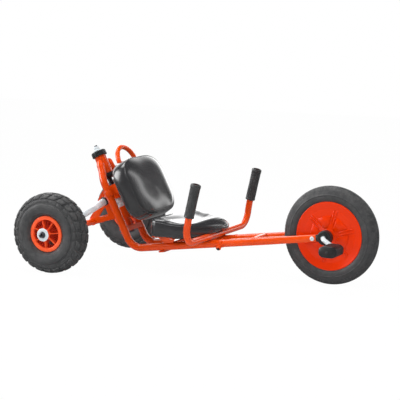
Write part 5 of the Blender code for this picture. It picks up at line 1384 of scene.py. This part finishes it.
def inflate(obj, held, cap):
    """Swells a cushion with a cloth simulation, holding some points and capping every movement."""
    start = [vertex.co.copy() for vertex in obj.data.vertices]
    group = obj.vertex_groups.new(name="held")
    for index, weight in held.items():
        group.add([index], weight, "REPLACE")
    cloth = obj.modifiers.new("filling", "CLOTH")
    settings = cloth.settings
    settings.quality = 6
    settings.mass = 0.3
    settings.tension_stiffness = 40
    settings.compression_stiffness = 40
    settings.shear_stiffness = 15
    settings.bending_stiffness = 1.2
    settings.use_pressure = True
    settings.uniform_pressure_force = COVER_PRESSURE
    settings.vertex_group_mass = "held"
    settings.effector_weights.gravity = 0
    scene = bpy.context.scene
    for number in range(1, COVER_FRAMES + 1):
        scene.frame_set(number)
    evaluated = obj.evaluated_get(bpy.context.evaluated_depsgraph_get())
    moved = [vertex.co.copy() for vertex in evaluated.to_mesh().vertices]
    evaluated.to_mesh_clear()
    obj.modifiers.remove(cloth)
    scene.frame_set(1)
    for vertex, before, after in zip(obj.data.vertices, start, moved):
        step = after - before
        if step.length > cap * MM:
            step = step.normalized() * cap * MM
        vertex.co = before + step


def cushion(node, place, mesh, crown_hold, cap, welt_r):
    """A vinyl cover filled out by the simulation, with a welt round its edge."""
    bm, rows = mesh
    held = {index: 1.0 for row in (*PINNED_ROWS, WELT_ROW) for index in rows[row]}
    for index in rows[-1]:
        held[index] = crown_hold
    cover = piece(node, "cover", bm, place, BLACK_VINYL, sharp=180)
    inflate(cover, held, cap)
    bpy.context.view_layer.objects.active = cover
    finer = cover.modifiers.new("fine", "SUBSURF")
    finer.levels = 1
    finer.render_levels = 1
    welt(node, [cover.data.vertices[i].co / MM for i in rows[WELT_ROW]], welt_r)


def welt(node, points, radius):
    """Piping along one row of a cushion's points."""
    centre = sum(points, Vector()) / len(points)
    rings = []
    for i, point in enumerate(points):
        tangent = (points[(i + 1) % len(points)] - points[i - 1]).normalized()
        out = point - centre
        out = (out - out.dot(tangent) * tangent).normalized()
        rings.append(circle(point - out * radius * 0.2, out, tangent.cross(out), radius, 10))
    name = node.replace("_cushion", "_welt")
    piece(node, "", loft(rings, closed=True), GROUND, BLACK_VINYL, extra=True, sharp=180, name=name)


SEAT_HALF = span("seat_cushion")[1].y
SEAT_REAR_X = -158.0
SEAT_ROUND_X = -84.0
SEAT_FRONT_X = 51.0
SEAT_CORNER_R = 22.0
SEAT_MID_X = (SEAT_REAR_X + SEAT_FRONT_X) / 2
SEAT_SIDES = 128
# Heights along the seat, and the front roll's by the share of the way out to the round edge
SEAT_UNDER_LINE = ((SEAT_REAR_X, 120.0), (SEAT_ROUND_X, 123.0), (-16.0, 127.5), (30.0, 136.0),
                   (SEAT_FRONT_X, 145.0))
SEAT_TOP_LINE = ((SEAT_REAR_X, 180.0), (-112.0, 179.0), (SEAT_ROUND_X, 174.0), (-50.0, 171.0), (-16.0, 171.0),
                 (SEAT_FRONT_X, 171.0))
SEAT_ROLL_LINE = ((0.32, 0.0), (0.47, 4.5), (0.59, 12.0), (0.68, 16.0), (0.75, 16.0), (0.84, 9.0),
                  (0.92, -1.0), (1.0, -13.0))
SEAT_DISH = 8.0
SEAT_DISH_REACH = 62.0
PAN_INSET = 18.0
PAN_THICK = 5.0


def seat_plan(grow=0.0):
    """Dense outline of the seat from above: straight rear, small rear corners, half-round front."""
    half = SEAT_HALF + grow
    rear, r = SEAT_REAR_X - grow, SEAT_CORNER_R
    arcs = [(SEAT_ROUND_X, 0, SEAT_FRONT_X + grow - SEAT_ROUND_X, half, range(-90, 91)),
            (rear + r, half - r, r, r, range(90, 181, 3)), (rear + r, r - half, r, r, range(180, 271, 3))]
    points = []
    for x, y, long, wide, turns in arcs:
        for turn in turns:
            angle = math.radians(turn)
            points.append(Vector((x - SEAT_MID_X + long * math.cos(angle), y + wide * math.sin(angle))))
    return points


def seat_at(p, inset, level):
    """A point of the seat cushion: p across it, inset from its edge, level from 0 below to 1 on top."""
    x = SEAT_MID_X + p.x
    ahead = (x - SEAT_ROUND_X) / (SEAT_FRONT_X - SEAT_ROUND_X)
    aside = p.y / SEAT_HALF
    turn = min(abs(1.5 * math.atan2(aside, ahead)), math.pi / 2)
    low, high = height_on(SEAT_UNDER_LINE, x), height_on(SEAT_TOP_LINE, x)
    high += height_on(SEAT_ROLL_LINE, math.hypot(ahead, aside)) * max(math.cos(turn), 0)
    share = min(max((inset - 8) / SEAT_DISH_REACH, 0), 1)
    dish = SEAT_DISH * share * share * (3 - 2 * share) if level > 0.9 else 0
    return Vector((x, p.y, low + (high - low) * level - dish))


def seat_cushion():
    """Dished seat with a raised front roll, a welt round its top edge and drawn-in sides."""
    rows = [(70, 0.0), (45, 0.0), (22, 0.0), (9, 0.01), (3.4, 0.06), (1.0, 0.15), (0.0, 0.30), (0.0, 0.46),
            (0.6, 0.62), (1.6, 0.75), (2.4, 0.80), (3.0, 0.84), (5.0, 0.92), (9, 0.975), (15, 1.0), (24, 1.0),
            (36, 1.0), (52, 1.0), (74, 1.0)]
    mesh = cushion_mesh(rows, evenly(seat_plan(), SEAT_SIDES), (0.0, 1.0), seat_at)
    cushion("seat_cushion", GROUND, mesh, 0.3, 4.0, 1.7)


def seat_pan():
    """Thin board under the seat cushion, a little smaller than it and curved with its underside."""
    outline = evenly(seat_plan(-PAN_INSET), 96)
    rings = []
    for drop, inset in ((PAN_THICK, 60), (PAN_THICK, 1.2), (PAN_THICK - 1.2, 0), (1.5, 0), (GAP, 1.2),
                        (GAP, 60)):
        points = []
        for p in outline:
            q = p * (1 - inset / p.length)
            x = SEAT_MID_X + q.x
            points.append(Vector((x, q.y, height_on(SEAT_UNDER_LINE, x) - drop)))
        rings.append(points)
    piece("seat_pan", "board", loft(rings), GROUND, PLYWOOD)


BACK_LOW, BACK_HIGH = span("backrest_cushion", STEER)
BACK_LOW.z -= 7.0
BACK_MID_T = (BACK_LOW.z + BACK_HIGH.z) / 2
BACK_SIDES = 112
HOOP_R = 8.0


def back_at(p, inset, level):
    """A point of the backrest cushion: p is (across, up) and level is how far it stands off its rear."""
    return Vector((BACK_LOW.x + level, p.x, BACK_MID_T + p.y))


def backrest_cushion():
    """Thick cushion with a boxed side band, a welted edge and a crowned, slightly dished face."""
    outline = evenly(rounded_square(BACK_HIGH.y, BACK_HIGH.z - BACK_MID_T, 3.4), BACK_SIDES)
    rows = [(70, 3), (40, 3), (22, 3.5), (10, 6), (3.6, 11), (0.8, 19), (0, 30), (0.6, 42), (2.4, 52),
            (4.4, 57), (5.6, 58.4), (7.4, 60), (11, 62.5), (17, 65.5), (25, 68), (36, 70.4), (50, 72.4),
            (66, 73.8), (82, 74.4)]
    mesh = cushion_mesh(rows, outline, (3, 74.6), back_at)
    cushion("backrest_cushion", STEER, mesh, 0.4, 5.0, 1.6)


def backrest_hoop():
    """Round hoop out of the cushion's top."""
    low, high = span("backrest_hoop", STEER)
    half = high.y - HOOP_R
    f = (low.x + high.x) / 2
    centre = Vector((f, 0, high.z - high.y))
    bend = circle(centre, ACROSS, UP, half, 56)[:29]
    path = [Vector((f, half, low.z))] + bend + [Vector((f, -half, low.z))]
    piece("backrest_hoop", "tube", tube(path, AHEAD, HOOP_R, HOOP_R - 1.8), STEER, FRAME_PAINT)


# The stage: floor, lights, sky and camera

FLOOR_WHITE = 0.985
EVEN_LIGHT = 0.42
WHITE = (1, 1, 1, 1)
MIRRORED_GREY = (0.8, 0.8, 0.8, 1)


def stage():
    """A white floor that keeps the shadow, and that reflections see dark in front and bright behind."""
    reach = 6.0
    floor = bpy.data.meshes.new("floor")
    floor.from_pydata([(-reach, -reach, 0), (reach, -reach, 0), (reach, reach, 0), (-reach, reach, 0)], [],
                      [(0, 1, 2, 3)])
    obj = new_object("floor", floor)
    obj.location.z = -0.0005
    material = bpy.data.materials.new("pale_floor")
    material.use_nodes = True
    tree = material.node_tree
    shader = tree.nodes["Principled BSDF"]
    shader.inputs["Base Color"].default_value = (0.90, 0.90, 0.90, 1)
    shader.inputs["Roughness"].default_value = 0.9
    shader.inputs["Specular IOR Level"].default_value = 0.0
    ray = add(tree, "LightPath").outputs
    place = add(tree, "NewGeometry").outputs["Position"]
    x, y, _ = add(tree, "SeparateXYZ", Vector=place).outputs
    behind = spread(tree, maths(tree, "MULTIPLY_ADD", x, -0.8, y), 0.25, 1.8, 1.5, 4.0)
    share = maths(tree, "MULTIPLY", ray["Is Camera Ray"], FLOOR_WHITE)
    seen = either(tree, share, shader.outputs["BSDF"], add(tree, "Emission").outputs["Emission"])
    glow = add(tree, "Emission", Strength=behind).outputs["Emission"]
    surface = either(tree, ray["Is Glossy Ray"], seen, glow)
    feed(tree, tree.nodes["Material Output"].inputs["Surface"], surface)
    floor.materials.append(material)


def lamp(name, location, target, size, power):
    """A rectangular lamp that reflections don't show."""
    light = bpy.data.lights.new(name, "AREA")
    light.shape = "RECTANGLE"
    light.size, light.size_y = size
    light.energy = power
    obj = new_object(name, light)
    obj.location = location
    obj.rotation_mode = "QUATERNION"
    obj.rotation_quaternion = (Vector(target) - Vector(location)).to_track_quat("-Z", "Y")
    obj.visible_glossy = False


def sky():
    """White to the camera, even for diffuse light, and for reflections dark but for a few bright bands."""
    world = bpy.data.worlds.new("studio")
    bpy.context.scene.world = world
    world.use_nodes = True
    tree = world.node_tree
    tree.nodes.clear()
    where = add(tree, "TexCoord").outputs["Generated"]
    x, y, z = add(tree, "SeparateXYZ", Vector=where).outputs
    far = spread(tree, y, 0.0, 1.0, 0.05, 0.45)
    low = spread(tree, z, 1.0, 0.0, 0.36, 0.66)
    slant = maths(tree, "MULTIPLY_ADD", x, 0.80, z)
    horizon = maths(tree, "MAXIMUM", spread(tree, slant, 3.6, 0.12, 0.10, 0.20),
                    spread(tree, x, 3.2, 0.0, 0.02, 0.20))
    total = product(tree, horizon, far, low)
    line = maths(tree, "MULTIPLY_ADD", z, -0.37, x)
    overhead = product(tree, spread(tree, z, 0.0, 6.0, 0.74, 0.80), spread(tree, y, 0.0, 1.0, -0.22, -0.10),
                       spread(tree, x, 1.0, 0.0, -0.35, -0.20))
    streak = product(tree, spread(tree, line, 0.0, 3.2, 0.33, 0.40),
                     spread(tree, line, 1.0, 0.10, 0.42, 0.52), far)
    left = product(tree, spread(tree, x, 9.0, 0.0, -0.72, -0.54), spread(tree, z, 0.0, 1.0, 0.0, 0.12),
                   spread(tree, z, 1.0, 0.0, 0.50, 0.62), spread(tree, y, 1.0, 0.0, -0.25, -0.1))
    for band in (overhead, streak, left):
        total = maths(tree, "ADD", total, band)
    lights = []
    for colour, strength in ((WHITE, EVEN_LIGHT), (MIRRORED_GREY, total), (WHITE, 1.0)):
        lights.append(add(tree, "Background", Color=colour, Strength=strength).outputs["Background"])
    even, mirror, white = lights
    ray = add(tree, "LightPath").outputs
    shown = either(tree, ray["Is Camera Ray"], either(tree, ray["Is Glossy Ray"], even, mirror), white)
    add(tree, "OutputWorld", Surface=shown)


SENSOR = 36.0
FOCAL_PX = 1469.0
PHOTO_PX = 400.0
CAMERA_YAW = math.radians(26.03)
CAMERA_PITCH = math.radians(8.15)
CAMERA_ROLL = math.radians(0.64)
CAMERA_FROM_AXLE = Vector((2.468, -4.233, 0.907))


def camera():
    """The photograph's view."""
    data = bpy.data.cameras.new("camera")
    data.sensor_width = SENSOR
    data.lens = SENSOR * FOCAL_PX / PHOTO_PX
    data.clip_end = 60.0
    level = Vector((-math.sin(CAMERA_YAW), math.cos(CAMERA_YAW), 0))
    ahead = level * math.cos(CAMERA_PITCH) - UP * math.sin(CAMERA_PITCH)
    right = Vector((math.cos(CAMERA_YAW), math.sin(CAMERA_YAW), 0))
    up = right.cross(ahead)
    rolled = math.cos(CAMERA_ROLL) * right + math.sin(CAMERA_ROLL) * up
    upright = -math.sin(CAMERA_ROLL) * right + math.cos(CAMERA_ROLL) * up
    matrix = Matrix((rolled, upright, -ahead)).transposed().to_4x4()
    matrix.translation = CAMERA_FROM_AXLE + AHEAD * REAR_HUB.x
    obj = new_object("camera", data)
    obj.matrix_world = matrix
    bpy.context.scene.camera = obj


kept_nodes()
head_tube()
head_caps()
spindle_nut()
spindle()
carriage_stack()
stay_beam()
carriage_web()
axle()
handle_bar()
fork_bridge()
front_tyre()
crank_axle()
seat_bolts()
backrest_hoop()
seat_cushion()
seat_pan()
backrest_cushion()
for side, name in SIDES:
    for make in (frame_rail, fork_blade, bearing_block, bar_pad, grip, front_disc, pedal, rear_wheel,
                 axle_fittings):
        make(side, name)
stage()
sky()
lamp("overhead", (-0.3, -0.6, 3.2), (0, 0, 0.1), (3.2, 1.8), 96)
lamp("front_left", (-2.6, -2.6, 1.9), (-0.1, 0, 0.2), (1.4, 1.8), 46)
lamp("front_right", (3.0, -2.2, 1.6), (0.1, 0, 0.2), (1.2, 1.6), 30)
camera()
bpy.context.scene.view_settings.view_transform = "Standard"

import json
